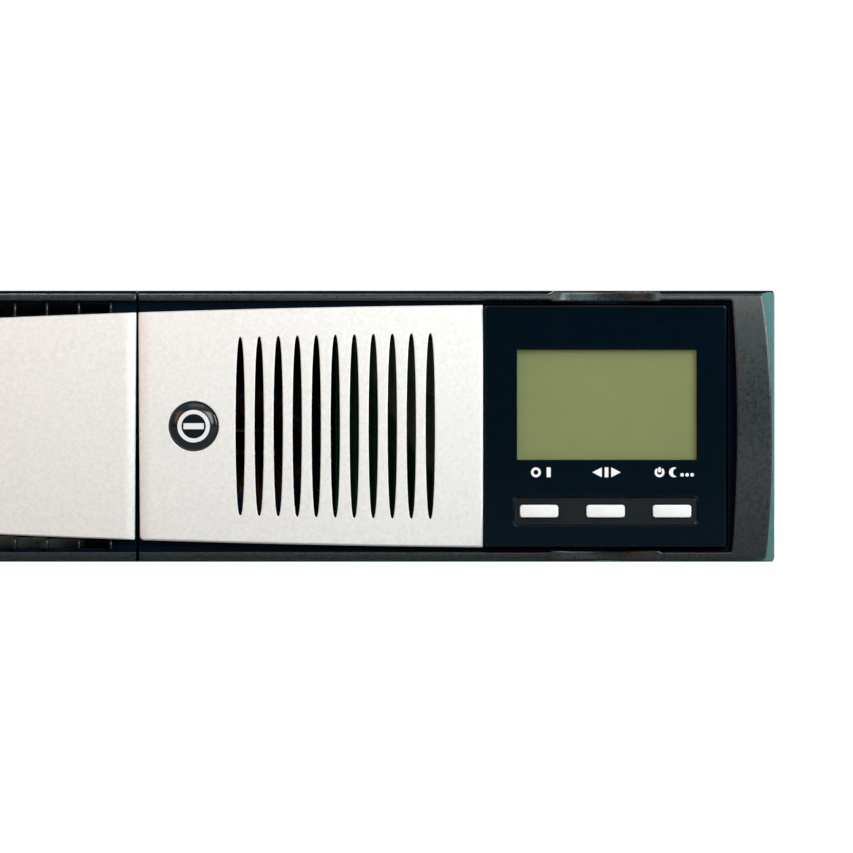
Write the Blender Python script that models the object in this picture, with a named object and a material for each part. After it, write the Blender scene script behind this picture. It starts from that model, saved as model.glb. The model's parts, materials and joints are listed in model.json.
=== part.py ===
"""A 2U rack or tower uninterruptible power supply, as an assembly of separate pieces.

The frame is +X to the right of the front, +Y to the rear and +Z up, in metres. The origin is at the
middle of the footprint, on the surface that the case rests on. The front bezel is in two halves: the
right half carries the vented panel, the power button and the pull-out display, and the left half is
the battery cover, which comes off so that the battery tray can slide out.
"""

import math

import bmesh
import bpy
from mathutils import Matrix, Vector

# ---- Case ----
CASE_WIDTH = 0.440
CASE_HEIGHT = 0.087
CASE_DEPTH = 0.425
SHEET = 0.0012  # steel thickness
FIT_GAP = 0.0003  # between pieces that touch
SLIDE_GAP = 0.0005  # between pieces that slide
BEZEL_DEPTH = 0.035
REAR_REACH = 0.006  # how far the rear fittings stand out of the rear panel
BASE_FLANGE = 0.015

# ---- Front bezel, depths measured back from the foremost plane ----
SEAM_GAP = 0.0006
BEZEL_WALL = 0.002
PLATE_FACE = 0.0085
RAIL_INSET = 0.0013
RAIL_WIDTH = 0.0021
CAP_FACE = 0.0018
CAP_DROP = 0.0028  # how far the barrel shape falls back at the top and bottom edges
CAP_WIDTH = 0.0123
CAP_BULGE_OUT = 0.0038
CAP_BULGE_IN = 0.0015
CORNER = 0.0016

# ---- Silver panels ----
PANEL_FACE = 0.0012
PANEL_DROP = 0.0026
PANEL_SKIN = 0.002
PANEL_WALL = 0.0016
PANEL_MARGIN = 0.0045  # from the case's edge to the panel's edge, at its widest
TAPER_RADIUS = 4.40  # of the long arc that narrows the panels to the left
PANEL_GAP = 0.0007
PANEL_TO_MODULE = 0.0006
CAP_GAP = 0.0010

# ---- Vent slots in the right panel ----
SLOT_COUNT = 11
SLOT_PITCH = 0.00606
SLOT_WIDTH = 0.0030
SLOT_MARGIN = 0.0088  # from a slot's tip to the panel's edge
LAST_SLOT_TO_EDGE = 0.0168
VENT_WINDOW_MARGIN = 0.016  # from the case's edge to the opening behind the slots

# ---- Ribs under the left panel ----
RIB_PITCH = 0.0102
RIB_WIDTH = 0.0016
RIB_RISE = 0.0032
RIB_TO_RAIL = 0.0012
FIRST_RIB_TO_SEAM = 0.0085

# ---- Power button ----
BUTTON_TO_PANEL_EDGE = 0.0173
BUTTON_TO_FIRST_SLOT = 0.0148
BUTTON_RADIUS = 0.0077
BUTTON_GAP = 0.0003
BUTTON_CAP = 0.0080
BUTTON_TRAVEL = 0.0015
BUTTON_CHAMFER = 0.0014
STEM_RADIUS = 0.0026
STEM_END = 0.0200
BOSS_WALL = 0.0016
BOSS_FACE = 0.0042
BOSS_BACK = 0.0180
SPRING_WIRE = 0.0004
SPRING_TURNS = 5

# ---- Display module ----
MODULE_MARGIN = 0.005  # from the case's top and bottom edges
MODULE_TO_CAP = 0.0033
MODULE_FACE = 0.0030
MODULE_TO_CHASSIS = 0.006
MODULE_WALL = 0.0016
FACEPLATE = 0.0022
WINDOW_SIDE = 0.00975
WINDOW_TOP = 0.0142
WINDOW_BOTTOM = 0.0278
LENS_DROP = 0.0008
LENS = 0.0010
LCD_BORDER = 0.0025
LCD_BACK = 0.0107
BOARD = 0.0016
KEY_RECESS_SIDE = 0.0092
KEY_RECESS_BOTTOM = 0.0069
KEY_RECESS_HEIGHT = 0.0090
KEY_RECESS_DEPTH = 0.0010
KEY_WIDTH = 0.0122
KEY_HEIGHT = 0.0040
KEY_PITCH = 0.0212
KEY_GAP = 0.0002
KEY_TRAVEL = 0.0006
DISPLAY_PLUG = (0.012, 0.006, 0.008)  # width, height and reach
SCOOP_RADIUS = 0.030
SCOOP_WIDTH = 0.028
SCOOP_PAD = 0.0033

# ---- Battery bay ----
BAY_TO_SEAM = 0.0154  # the bay's wall stands to the left of the bezel's seam
BAY_REAR_TO_REAR = 0.0485
TRAY_LIP = 0.012
TRAY_WALL_HEIGHT = 0.030
TRAY_TO_OPENING = 0.0135  # from the tray's front wall up to the top of the bay's opening
BAY_TOP_RAIL = 0.012  # from the bay's opening up to the case's top
HARNESS_SPACE = 0.0225  # behind the rear batteries
CHANNEL = 0.0252  # between the two rows of batteries
BATTERY_GAP = 0.0005
BATTERY_TOP_SPACE = 0.0190
BATTERY_BEVEL = 0.002
PLUG_SIZE = (0.030, 0.016)
PLUG_DROP = 0.013  # below the middle of the case
PLUG_CLEARANCE = 0.0003
SOCKET_WALL = 0.0017
TAB = (0.0008, 0.0063, 0.0075)  # thickness, width and length of a terminal tab
WIRE_RADIUS = 0.0022

# ---- Electronics ----
STANDOFF = 0.0080
STANDOFF_RADIUS = 0.0035
STANDOFF_INSET = 0.006
BOARD_MARGIN = 0.006
BOARD_FRONT_SPACE = 0.022
BOARD_TO_FAN = 0.025
SINK_WIDTH = 0.040
SINK_MARGIN = 0.012
SINK_START = 0.186  # from the board's front edge, behind the inductors
SINK_END = 0.010
SINK_HEIGHT = 0.052
SINK_PLATE = 0.005
SINK_FIN = 0.0015
SINK_PITCH = 0.0075
INDUCTOR_RADIUS = 0.0165
INDUCTOR_COIL = 0.0095
INDUCTOR_X = 0.045
INDUCTOR_ROWS = (0.055, 0.110)
CAPACITOR_RADIUS = 0.015
CAPACITOR_HEIGHT = 0.045
CAPACITOR_PITCH = 0.036
CAPACITOR_ROW = 0.060
RELAY = (0.016, 0.028, 0.025)
RELAY_PITCH = 0.034
CONTROL_BOARD_TOP_SPACE = 0.008
FAN_MARGIN = 0.0023
FAN_THICKNESS = 0.025
FAN_WALL = 0.0018
ROTOR_GAP = 0.0010
BLADES = 7

# ---- Rear fittings ----
SOCKET_FLANGE = 0.0025
OUTLET_PITCH = 0.031
OUTLETS_PER_BANK = 4
OUTLET_MARGIN = 0.0065  # from the case's edge sheets to a bank's flange
OUTLET_FLANGE_HEIGHT = 0.0275
OUTLET_BODY_HEIGHT = 0.0240
OUTLET_BODY_DEPTH = 0.022
SHROUD = (0.0138, 0.0098, 0.0050)  # half width, half height and corner cut of a connector's shroud
SHROUD_GROOVE = 0.0019
SHROUD_DEPTH = 0.014
PIN_SLOT = (0.0024, 0.0048)
PIN_SPREAD = 0.007
INLET_FLANGE = (0.050, 0.025)
INLET_BODY = (0.0290, 0.0210)
INLET_RECESS = (0.0123, 0.0083, 0.0044)
INLET_PIN = (0.002, 0.004)
INLET_Z = 0.018
FITTING_GAP = 0.0003  # around a fitting in its cutout
REAR_COLUMN = 0.034  # from the bay's wall to the inlet
BREAKER_COLLAR = 0.0060
BREAKER_Z = 0.017
SLOT_COVER = (0.046, 0.036)
SLOT_COVER_LAP = 0.003
USB_PORT = (0.0120, 0.0110)
SERIAL_PORT = (0.0180, 0.0100)
STOP_TERMINAL = (0.0120, 0.0080)
PORT_Z = 0.016
GROUND_SCREW_RADIUS = 0.0020
EAR_HOLE_RADIUS = 0.0022
SCREW_RADIUS = 0.0015
SCREW_HEAD_RADIUS = 0.0027

# ---- Derived planes ----
RIGHT = CASE_WIDTH / 2
LEFT = -RIGHT
FRONT = -CASE_DEPTH / 2
MID_Z = CASE_HEIGHT / 2
CHASSIS_FRONT = FRONT + BEZEL_DEPTH
REAR_FACE = CASE_DEPTH / 2 - REAR_REACH
REAR_INSIDE = REAR_FACE - SHEET
PLATE_BACK = PLATE_FACE + BEZEL_WALL
MODULE_BACK = BEZEL_DEPTH - MODULE_TO_CHASSIS
MODULE_SIZE = CASE_HEIGHT - 2 * MODULE_MARGIN
MODULE_RIGHT = RIGHT - CAP_WIDTH - MODULE_TO_CAP
MODULE_X = MODULE_RIGHT - MODULE_SIZE / 2
MODULE_LEFT = MODULE_RIGHT - MODULE_SIZE
PANEL_HALF = MID_Z - PANEL_MARGIN
PANEL_RIGHT = MODULE_LEFT - PANEL_TO_MODULE
SLOT_LAST_X = PANEL_RIGHT - LAST_SLOT_TO_EDGE
SLOT_FIRST_X = SLOT_LAST_X - (SLOT_COUNT - 1) * SLOT_PITCH
BUTTON_X = SLOT_FIRST_X - BUTTON_TO_FIRST_SLOT
SEAM_X = BUTTON_X - BUTTON_TO_PANEL_EDGE - PANEL_GAP
BAY_RIGHT = SEAM_X - BAY_TO_SEAM - SHEET
BAY_LEFT = LEFT + 2 * SHEET + FIT_GAP
BAY_REAR = REAR_INSIDE - BAY_REAR_TO_REAR
VENT_WINDOW_HEIGHT = CASE_HEIGHT - 2 * VENT_WINDOW_MARGIN
FAN_SIZE = CASE_HEIGHT - 2 * SHEET - 2 * FAN_MARGIN


def depth(distance):
    """The Y of a plane that lies this far behind the foremost plane."""
    return FRONT + distance


# ---- Shapes, added to a bmesh in the case's own frame ----


def place(axis, u, v, w):
    return {"X": (w, u, v), "Y": (u, w, v), "Z": (u, v, w)}[axis]


def add_prism(bm, outline, axis, start, end):
    """A closed outline of (u, v) points, extruded along an axis."""
    near = [bm.verts.new(place(axis, u, v, start)) for u, v in outline]
    far = [bm.verts.new(place(axis, u, v, end)) for u, v in outline]
    bm.faces.new(near)
    bm.faces.new(far)
    for i in range(len(outline)):
        bm.faces.new((near[i - 1], near[i], far[i], far[i - 1]))


def add_ring_prism(bm, outer, inner, axis, start, end):
    """A prism with a hole, from two outlines with the same number of points."""
    loops = [
        [bm.verts.new(place(axis, u, v, w)) for u, v in outline]
        for outline, w in ((outer, start), (outer, end), (inner, end), (inner, start))
    ]
    for first, second in zip(loops, loops[1:] + loops[:1]):
        for i in range(len(outer)):
            bm.faces.new((first[i - 1], first[i], second[i], second[i - 1]))


def add_box(bm, x, y, z):
    add_prism(bm, rectangle(x, z), "Y", y[0], y[1])


def add_turned(bm, profile, centre, segments, axis="Y"):
    """A solid of revolution. The profile runs from the axis and back to it, as (radius, along) points."""
    rings = []
    for radius, along in profile:
        outline = circle(radius, centre, segments) if radius else [centre]
        rings.append([bm.verts.new(place(axis, u, v, along)) for u, v in outline])
    for near, far in zip(rings, rings[1:]):
        for i in range(segments):
            quad = [near[i - 1], near[i], far[i], far[i - 1]] if len(near) > 1 and len(far) > 1 else None
            if quad is None and len(near) == 1:
                quad = [near[0], far[i], far[i - 1]]
            elif quad is None:
                quad = [near[i - 1], near[i], far[0]]
            bm.faces.new(quad)


def add_tube(bm, points, radius, sides):
    """A round wire through the points, with flat ends."""
    path = [Vector(p) for p in points]
    rings = []
    across = None
    for i, point in enumerate(path):
        along = (path[min(i + 1, len(path) - 1)] - path[max(i - 1, 0)]).normalized()
        if across is None:
            across = along.orthogonal().normalized()
        across = (across - along * across.dot(along)).normalized()
        up = along.cross(across)
        turns = [2 * math.pi * k / sides for k in range(sides)]
        rings.append([bm.verts.new(point + radius * (math.cos(a) * across + math.sin(a) * up)) for a in turns])
    bm.faces.new(rings[0])
    bm.faces.new(rings[-1])
    for near, far in zip(rings, rings[1:]):
        for k in range(sides):
            bm.faces.new((near[k - 1], near[k], far[k], far[k - 1]))


def add_torus(bm, centre, ring_radius, wire_radius, segments, sides):
    """A wire ring about Y."""
    rings = []
    for i in range(segments):
        turn = 2 * math.pi * i / segments
        ring = []
        for k in range(sides):
            tilt = 2 * math.pi * k / sides
            reach = ring_radius + wire_radius * math.cos(tilt)
            offset = Vector((reach * math.cos(turn), wire_radius * math.sin(tilt), reach * math.sin(turn)))
            ring.append(bm.verts.new(Vector(centre) + offset))
        rings.append(ring)
    for i in range(segments):
        for k in range(sides):
            bm.faces.new((rings[i - 1][k - 1], rings[i - 1][k], rings[i][k], rings[i][k - 1]))


def add_crowned_block(bm, outline_at, columns, rows, face, drop, back):
    """A block whose front is a shallow barrel about X. outline_at gives (x, z) at two shares from 0 to 1."""
    grid = []
    for i in range(columns + 1):
        column = []
        for j in range(rows + 1):
            x, z = outline_at(i / columns, j / rows)
            y = depth(face + drop * ((z - MID_Z) / PANEL_HALF) ** 2)
            column.append(bm.verts.new((x, y, z)))
        grid.append(column)
    for i in range(columns):
        for j in range(rows):
            bm.faces.new((grid[i][j], grid[i + 1][j], grid[i + 1][j + 1], grid[i][j + 1]))
    rim = [grid[i][0] for i in range(columns)] + [grid[columns][j] for j in range(rows)]
    rim += [grid[i][rows] for i in range(columns, 0, -1)] + [grid[0][j] for j in range(rows, 0, -1)]
    rear = [bm.verts.new((v.co.x, depth(back), v.co.z)) for v in rim]
    for i in range(len(rim)):
        bm.faces.new((rim[i - 1], rim[i], rear[i], rear[i - 1]))
    bm.faces.new(rear)


# ---- Outlines ----


def rectangle(x, z):
    return [(x[0], z[0]), (x[1], z[0]), (x[1], z[1]), (x[0], z[1])]


def circle(radius, centre=(0, 0), segments=24):
    turns = [2 * math.pi * (i + 0.5) / segments for i in range(segments)]
    return [(centre[0] + radius * math.cos(a), centre[1] + radius * math.sin(a)) for a in turns]


def rounded(x, z, radius, steps=3):
    """A rectangle with round corners."""
    corners = ((x[1], z[1], 0), (x[0], z[1], 1), (x[0], z[0], 2), (x[1], z[0], 3))
    points = []
    for corner_x, corner_z, quarter in corners:
        side_x = radius if corner_x == x[0] else -radius
        side_z = radius if corner_z == z[0] else -radius
        for step in range(steps + 1):
            a = math.pi / 2 * (quarter + step / steps)
            points.append((corner_x + side_x + radius * math.cos(a), corner_z + side_z + radius * math.sin(a)))
    return points


def around(centre, size):
    """The two limits of a span of this size about its centre."""
    return (centre - size / 2, centre + size / 2)


# ---- Objects ----


def finish(name, colour, roughness, metallic=0.0):
    """A plain material. The colour is linear red, green and blue."""
    material = bpy.data.materials.new(name)
    material.use_nodes = True
    shader = material.node_tree.nodes["Principled BSDF"]
    shader.inputs["Base Color"].default_value = (*colour, 1.0)
    shader.inputs["Roughness"].default_value = roughness
    shader.inputs["Metallic"].default_value = metallic
    return material


def mesh_of(bm, name):
    bmesh.ops.recalc_face_normals(bm, faces=bm.faces)
    mesh = bpy.data.meshes.new(name)
    bm.to_mesh(mesh)
    bm.free()
    return mesh


def make(name, bm, material, parent=None, smooth=False):
    """One named piece. Its mesh is drawn in the case's frame, and its origin goes to its parent's."""
    mesh = mesh_of(bm, name)
    mesh.materials.append(material)
    if smooth:
        mesh.shade_smooth()
        mesh.set_sharp_from_angle(angle=math.radians(35))
    if parent is not None:
        mesh.transform(Matrix.Translation(-parent.location))
    piece = bpy.data.objects.new(name, mesh)
    piece.parent = parent
    bpy.context.collection.objects.link(piece)
    return piece


def joint_at(name, location):
    """An empty on a joint's axis, which the pieces that move with it are parented to."""
    empty = bpy.data.objects.new(name, None)
    empty.location = location
    bpy.context.collection.objects.link(empty)
    return empty


def combine(piece, bm, operation):
    tool = bpy.data.objects.new(f"{piece.name}_tool", mesh_of(bm, "tool"))
    tool.hide_render = True
    tool.display_type = "WIRE"
    bpy.context.collection.objects.link(tool)
    modifier = piece.modifiers.new(operation.title(), "BOOLEAN")
    modifier.operation = operation
    modifier.object = tool


def cut(piece, bm):
    combine(piece, bm, "DIFFERENCE")


def fuse(piece, bm):
    combine(piece, bm, "UNION")


def box_piece(name, x, y, z, material, parent=None):
    bm = bmesh.new()
    add_box(bm, x, y, z)
    return make(name, bm, material, parent)


# ---- Chassis ----


def chassis_base(steel):
    """The floor plate with its two side flanges, and the studs that the main board stands on."""
    inner = RIGHT - SHEET - FIT_GAP
    profile = [(LEFT, 0), (RIGHT, 0), (RIGHT, SHEET), (inner, SHEET), (inner, BASE_FLANGE)]
    profile += [(inner - SHEET, BASE_FLANGE), (inner - SHEET, SHEET)]
    profile += [(-x, z) for x, z in reversed(profile[2:])]
    bm = bmesh.new()
    add_prism(bm, profile, "Y", CHASSIS_FRONT, REAR_INSIDE - FIT_GAP)
    base = make("chassis_base", bm, steel)
    studs = bmesh.new()
    for x, y in standoff_places():
        add_prism(studs, circle(STANDOFF_RADIUS, (x, y), 8), "Z", SHEET / 2, SHEET + STANDOFF)
    fuse(base, studs)
    holes = bmesh.new()
    for y, z in cover_screw_places():
        for sign in (-1, 1):
            ends = sorted((sign * (RIGHT - 3 * SHEET), sign * RIGHT))
            add_prism(holes, circle(SCREW_RADIUS + FIT_GAP, (y, z), 12), "X", *ends)
    cut(base, holes)


def top_cover(steel):
    """The folded lid: the top sheet and both side walls, with the holes for rack ears near the front."""
    low = SHEET + FIT_GAP
    top = CASE_HEIGHT
    profile = [(LEFT, low), (LEFT, top), (RIGHT, top), (RIGHT, low), (RIGHT - SHEET, low)]
    profile += [(RIGHT - SHEET, top - SHEET), (LEFT + SHEET, top - SHEET), (LEFT + SHEET, low)]
    bm = bmesh.new()
    add_prism(bm, profile, "Y", CHASSIS_FRONT, REAR_FACE)
    cover = make("top_cover", bm, steel)
    holes = bmesh.new()
    for y, z in ear_hole_places():
        add_prism(holes, circle(EAR_HOLE_RADIUS, (y, z), 12), "X", LEFT - SHEET, RIGHT + SHEET)
    for y, z in cover_screw_places():
        for sign in (-1, 1):
            add_turned(holes, screw_profile(sign, FIT_GAP, 3 * SHEET), (y, z), 12, "X")
    cut(cover, holes)


def ear_hole_places():
    """The rack ear holes in each side: two rows of two, behind the bezel."""
    return [(CHASSIS_FRONT + back, MID_Z + up) for back in (0.012, 0.037) for up in (-0.015, 0.015)]


def cover_screw_places():
    """The lid's screws go into the base's flanges."""
    return [(y, BASE_FLANGE * 0.6) for y in (CHASSIS_FRONT + 0.090, REAR_FACE - 0.040)]


def screw_profile(sign, gap, length):
    """A countersunk screw in a side wall, or with a gap the hole that it sits in."""
    wall = sign * (RIGHT + gap)
    head, shank = SCREW_HEAD_RADIUS + gap, SCREW_RADIUS + gap
    neck = wall - sign * (head - shank)
    return [(0, wall), (head, wall), (shank, neck), (shank, wall - sign * length), (0, wall - sign * length)]


def cover_screws(zinc):
    """Two countersunk screws in each side, which hold the lid to the base's flanges."""
    for side, sign in (("right", 1), ("left", -1)):
        for row, (y, z) in zip(("front", "rear"), cover_screw_places()):
            bm = bmesh.new()
            add_turned(bm, screw_profile(sign, 0, 2 * SHEET), (y, z), 12, "X")
            make(f"cover_screw_{side}_{row}", bm, zinc)


def front_plate(steel):
    """The chassis's front wall, open for the battery tray, the airflow and the display's plug."""
    x = (LEFT + SHEET + FIT_GAP, RIGHT - SHEET - FIT_GAP)
    z = (SHEET + FIT_GAP, CASE_HEIGHT - SHEET - FIT_GAP)
    y = (CHASSIS_FRONT - SHEET - FIT_GAP, CHASSIS_FRONT - FIT_GAP)
    plate = box_piece("front_plate", x, y, z, steel)
    holes = bmesh.new()
    through = (y[0] - SHEET, y[1] + SHEET)
    tray_x = (BAY_LEFT - FIT_GAP, BAY_RIGHT + FIT_GAP)
    add_box(holes, tray_x, through, (0, CASE_HEIGHT - BAY_TOP_RAIL))
    add_box(holes, vent_window(), through, around(MID_Z, VENT_WINDOW_HEIGHT))
    add_box(holes, around(MODULE_X, DISPLAY_PLUG[0] + 0.0026), through, around(MID_Z, DISPLAY_PLUG[1] + 0.0026))
    cut(plate, holes)


def rear_panel(steel):
    """The rear wall, with an opening for each fitting."""
    x = (LEFT + SHEET + FIT_GAP, RIGHT - SHEET - FIT_GAP)
    z = (SHEET + FIT_GAP, CASE_HEIGHT - SHEET - FIT_GAP)
    panel = box_piece("rear_panel", x, (REAR_INSIDE, REAR_FACE), z, steel)
    holes = bmesh.new()
    through = (REAR_INSIDE - SHEET, REAR_FACE + SHEET)
    add_prism(holes, circle(FAN_SIZE / 2 - FAN_WALL, fan_centre(), 32), "Y", *through)
    for x, z in fan_screw_places():
        add_prism(holes, circle(0.0022, (x, z), 10), "Y", *through)
    for middle, size in rear_cutouts():
        add_box(holes, around(middle[0], size[0]), through, around(middle[1], size[1]))
    for name, radius in (("breaker_body", BREAKER_COLLAR), ("ground_screw", GROUND_SCREW_RADIUS)):
        add_prism(holes, circle(radius + FITTING_GAP, rear_places()[name], 16), "Y", *through)
    cut(panel, holes)


def bay_walls(steel):
    """The battery bay's side and rear walls, folded from one sheet."""
    left = BAY_LEFT + FIT_GAP
    front = CHASSIS_FRONT + FIT_GAP
    plan = [(BAY_RIGHT, front), (BAY_RIGHT + SHEET, front), (BAY_RIGHT + SHEET, BAY_REAR + SHEET)]
    plan += [(left, BAY_REAR + SHEET), (left, BAY_REAR), (BAY_RIGHT, BAY_REAR)]
    bm = bmesh.new()
    add_prism(bm, plan, "Z", SHEET + FIT_GAP, CASE_HEIGHT - SHEET - FIT_GAP)
    walls = make("bay_walls", bm, steel)
    hole = bmesh.new()
    x, z = plug_centre()
    width, height = socket_size()
    add_box(hole, around(x, width + 2 * FIT_GAP), (BAY_REAR - SHEET, BAY_REAR + 2 * SHEET),
            around(z, height + 2 * FIT_GAP))
    cut(walls, hole)


# ---- Front bezel ----


def cap_outer(z):
    """The right cap's bowed outer edge."""
    return RIGHT - FIT_GAP - CAP_BULGE_OUT * ((z - MID_Z) / PANEL_HALF) ** 2


def cap_inner(z):
    return RIGHT - CAP_WIDTH - CAP_BULGE_IN * ((z - MID_Z) / PANEL_HALF) ** 2


def panel_half_height(x):
    """Half the height of the silver panels, which are widest at the display and narrow along an arc."""
    return PANEL_HALF - (x - MODULE_X) ** 2 / (2 * TAPER_RADIUS)


def heights(low, high, steps):
    return [low + (high - low) * i / steps for i in range(steps + 1)]


def bezel_half(name, plastic, sign, seam, parent=None):
    """One half of the bezel: a shell, open at the back, with raised rails that meet in a bowed end cap."""
    end = sign * (RIGHT - 0.0001)
    x = (min(seam, end), max(seam, end))
    z = (FIT_GAP, CASE_HEIGHT - FIT_GAP)
    bm = bmesh.new()
    add_prism(bm, rounded(x, z, CORNER), "Y", depth(PLATE_FACE), CHASSIS_FRONT - SHEET - 2 * FIT_GAP)
    bezel = make(name, bm, plastic, parent)
    cavity = bmesh.new()
    inside_x = (x[0] + BEZEL_WALL, x[1] - BEZEL_WALL)
    inside_z = (z[0] + BEZEL_WALL, z[1] - BEZEL_WALL)
    add_box(cavity, inside_x, (depth(PLATE_BACK), CHASSIS_FRONT), inside_z)
    cut(bezel, cavity)
    low, high = RAIL_INSET, CASE_HEIGHT - RAIL_INSET

    def rail_block(s, t):
        height = low + (high - low) * t
        return seam + (sign * cap_outer(height) - seam) * s, height

    frame = bmesh.new()
    add_crowned_block(frame, rail_block, 1, 12, CAP_FACE, CAP_DROP, PLATE_FACE + BEZEL_WALL / 2)
    fuse(bezel, frame)
    recess = bmesh.new()
    rows = heights(low + RAIL_WIDTH, high - RAIL_WIDTH, 8)
    outline = [(sign * cap_inner(height), height) for height in rows]
    outline += [(seam - sign * BEZEL_WALL, height) for height in (rows[-1], rows[0])]
    add_prism(recess, outline, "Y", FRONT - SHEET, depth(PLATE_FACE))
    cut(bezel, recess)
    return bezel


def right_bezel(plastic):
    bezel = bezel_half("right_bezel", plastic, 1, SEAM_X + SEAM_GAP / 2)
    added = bmesh.new()
    well = MODULE_SIZE + 2 * SLIDE_GAP
    outer, inner = well + 2 * MODULE_WALL, well
    square = [rectangle(around(MODULE_X, size), around(MID_Z, size)) for size in (outer, inner)]
    add_ring_prism(added, *square, "Y", depth(PLATE_FACE + BEZEL_WALL / 2), depth(MODULE_BACK + 0.004))
    fuse(bezel, added)
    boss = bmesh.new()
    add_prism(boss, circle(BUTTON_RADIUS + BUTTON_GAP + BOSS_WALL, (BUTTON_X, MID_Z), 24), "Y",
              depth(BOSS_FACE), depth(BOSS_BACK))
    fuse(bezel, boss)
    pads = bmesh.new()
    pad_x = around(MODULE_X, SCOOP_WIDTH + 2 * BEZEL_WALL)
    for z in scoop_heights():
        add_box(pads, pad_x, (depth(0.0048), depth(PLATE_FACE + 0.0005)), z)
    fuse(bezel, pads)
    openings = bmesh.new()
    through = (depth(0), depth(PLATE_BACK + 0.001))
    add_box(openings, around(MODULE_X, well), (depth(0), depth(MODULE_BACK + 0.01)), around(MID_Z, well))
    add_box(openings, vent_window(), through, around(MID_Z, VENT_WINDOW_HEIGHT))
    cut(bezel, openings)
    bores = bmesh.new()
    bore = BUTTON_RADIUS + BUTTON_GAP
    floor = depth(BOSS_BACK) - BOSS_WALL
    add_turned(bores, [(0, depth(0)), (bore, depth(0)), (bore, floor), (STEM_RADIUS + FIT_GAP, floor),
                       (STEM_RADIUS + FIT_GAP, depth(BOSS_BACK + 0.002)), (0, depth(BOSS_BACK + 0.002))],
               (BUTTON_X, MID_Z), 24)
    cut(bezel, bores)
    scoops = bmesh.new()
    rail_face = depth(CAP_FACE + CAP_DROP)
    centre = (MODULE_X, rail_face - math.sqrt(SCOOP_RADIUS**2 - SCOOP_WIDTH**2 / 4))
    for edge in (0, CASE_HEIGHT):
        span = around(edge, 2 * MODULE_MARGIN)
        add_prism(scoops, circle(SCOOP_RADIUS, centre, 64), "Z", *span)
    cut(bezel, scoops)


def scoop_heights():
    """The low and high finger scoops' pads, between the case's edge and the display."""
    low = (0.0006, 0.0006 + SCOOP_PAD)
    return [low, (CASE_HEIGHT - low[1], CASE_HEIGHT - low[0])]


def vent_window():
    """The opening behind the slots, which the bezel and the front plate share."""
    return (SLOT_FIRST_X - SLOT_PITCH / 2, SLOT_LAST_X + SLOT_PITCH / 2)


def silver_panel(name, silver, left_at, right, columns, parent=None):
    """A thin crowned shell with turned-back sides. left_at gives its left edge at a height."""
    bm = bmesh.new()

    def outline(inset):
        def at(s, t):
            side = 2 * t - 1
            left = left_at(MID_Z + side * PANEL_HALF) + inset
            x = left + (right - inset - left) * s
            return x, MID_Z + side * (panel_half_height(x) - inset)

        return at

    add_crowned_block(bm, outline(0), columns, 6, PANEL_FACE, PANEL_DROP, PLATE_FACE - FIT_GAP)
    panel = make(name, bm, silver, parent, smooth=True)
    hollow = bmesh.new()
    face = PANEL_FACE + PANEL_SKIN
    add_crowned_block(hollow, outline(PANEL_WALL), columns, 6, face, PANEL_DROP, PLATE_FACE + BEZEL_WALL)
    cut(panel, hollow)
    return panel


def vent_panel(silver):
    """The right panel, with its row of slender oval slots and the power button's hole."""
    left = SEAM_X + PANEL_GAP
    panel = silver_panel("vent_panel", silver, lambda z: left, PANEL_RIGHT, 4)
    openings = bmesh.new()
    for i in range(SLOT_COUNT):
        x = SLOT_FIRST_X + i * SLOT_PITCH
        half = panel_half_height(x) - SLOT_MARGIN
        slot = [(x + SLOT_WIDTH / 2 * u, MID_Z + half * v) for u, v in circle(1, segments=16)]
        add_prism(openings, slot, "Y", depth(0), depth(PLATE_FACE))
    hole = circle(BUTTON_RADIUS + BUTTON_GAP, (BUTTON_X, MID_Z), 24)
    add_prism(openings, hole, "Y", depth(0), depth(PLATE_FACE))
    cut(panel, openings)


def battery_cover(plastic, silver):
    """The bezel's left half, with a comb of ribs along the vents above and below its silver panel."""
    joint = joint_at("battery_cover_joint", (SEAM_X - BAY_TO_SEAM, FRONT, MID_Z))
    seam = SEAM_X - SEAM_GAP / 2
    cover = bezel_half("battery_cover", plastic, -1, seam, joint)
    windows = bmesh.new()
    ribs = bmesh.new()
    x = SEAM_X - FIRST_RIB_TO_SEAM
    while x > LEFT + CAP_WIDTH + CAP_BULGE_IN + RIB_PITCH:
        low = RAIL_INSET + RAIL_WIDTH + RIB_TO_RAIL
        high = MID_Z - panel_half_height(x) - FIT_GAP
        rib_y = (depth(PLATE_FACE - RIB_RISE), depth(PLATE_FACE + BEZEL_WALL / 2))
        window_x = (x - RIB_PITCH + RIB_WIDTH / 2, x - RIB_WIDTH / 2)
        for span in ((low, high), (CASE_HEIGHT - high, CASE_HEIGHT - low)):
            add_box(ribs, around(x, RIB_WIDTH), rib_y, span)
            add_box(windows, window_x, (depth(PLATE_FACE - 0.001), depth(PLATE_BACK + 0.001)), span)
        x -= RIB_PITCH
    cut(cover, windows)
    fuse(cover, ribs)
    silver_panel("plain_panel", silver, lambda z: CAP_GAP - cap_inner(z), SEAM_X - PANEL_GAP, 8, joint)


# ---- Power button ----


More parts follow.
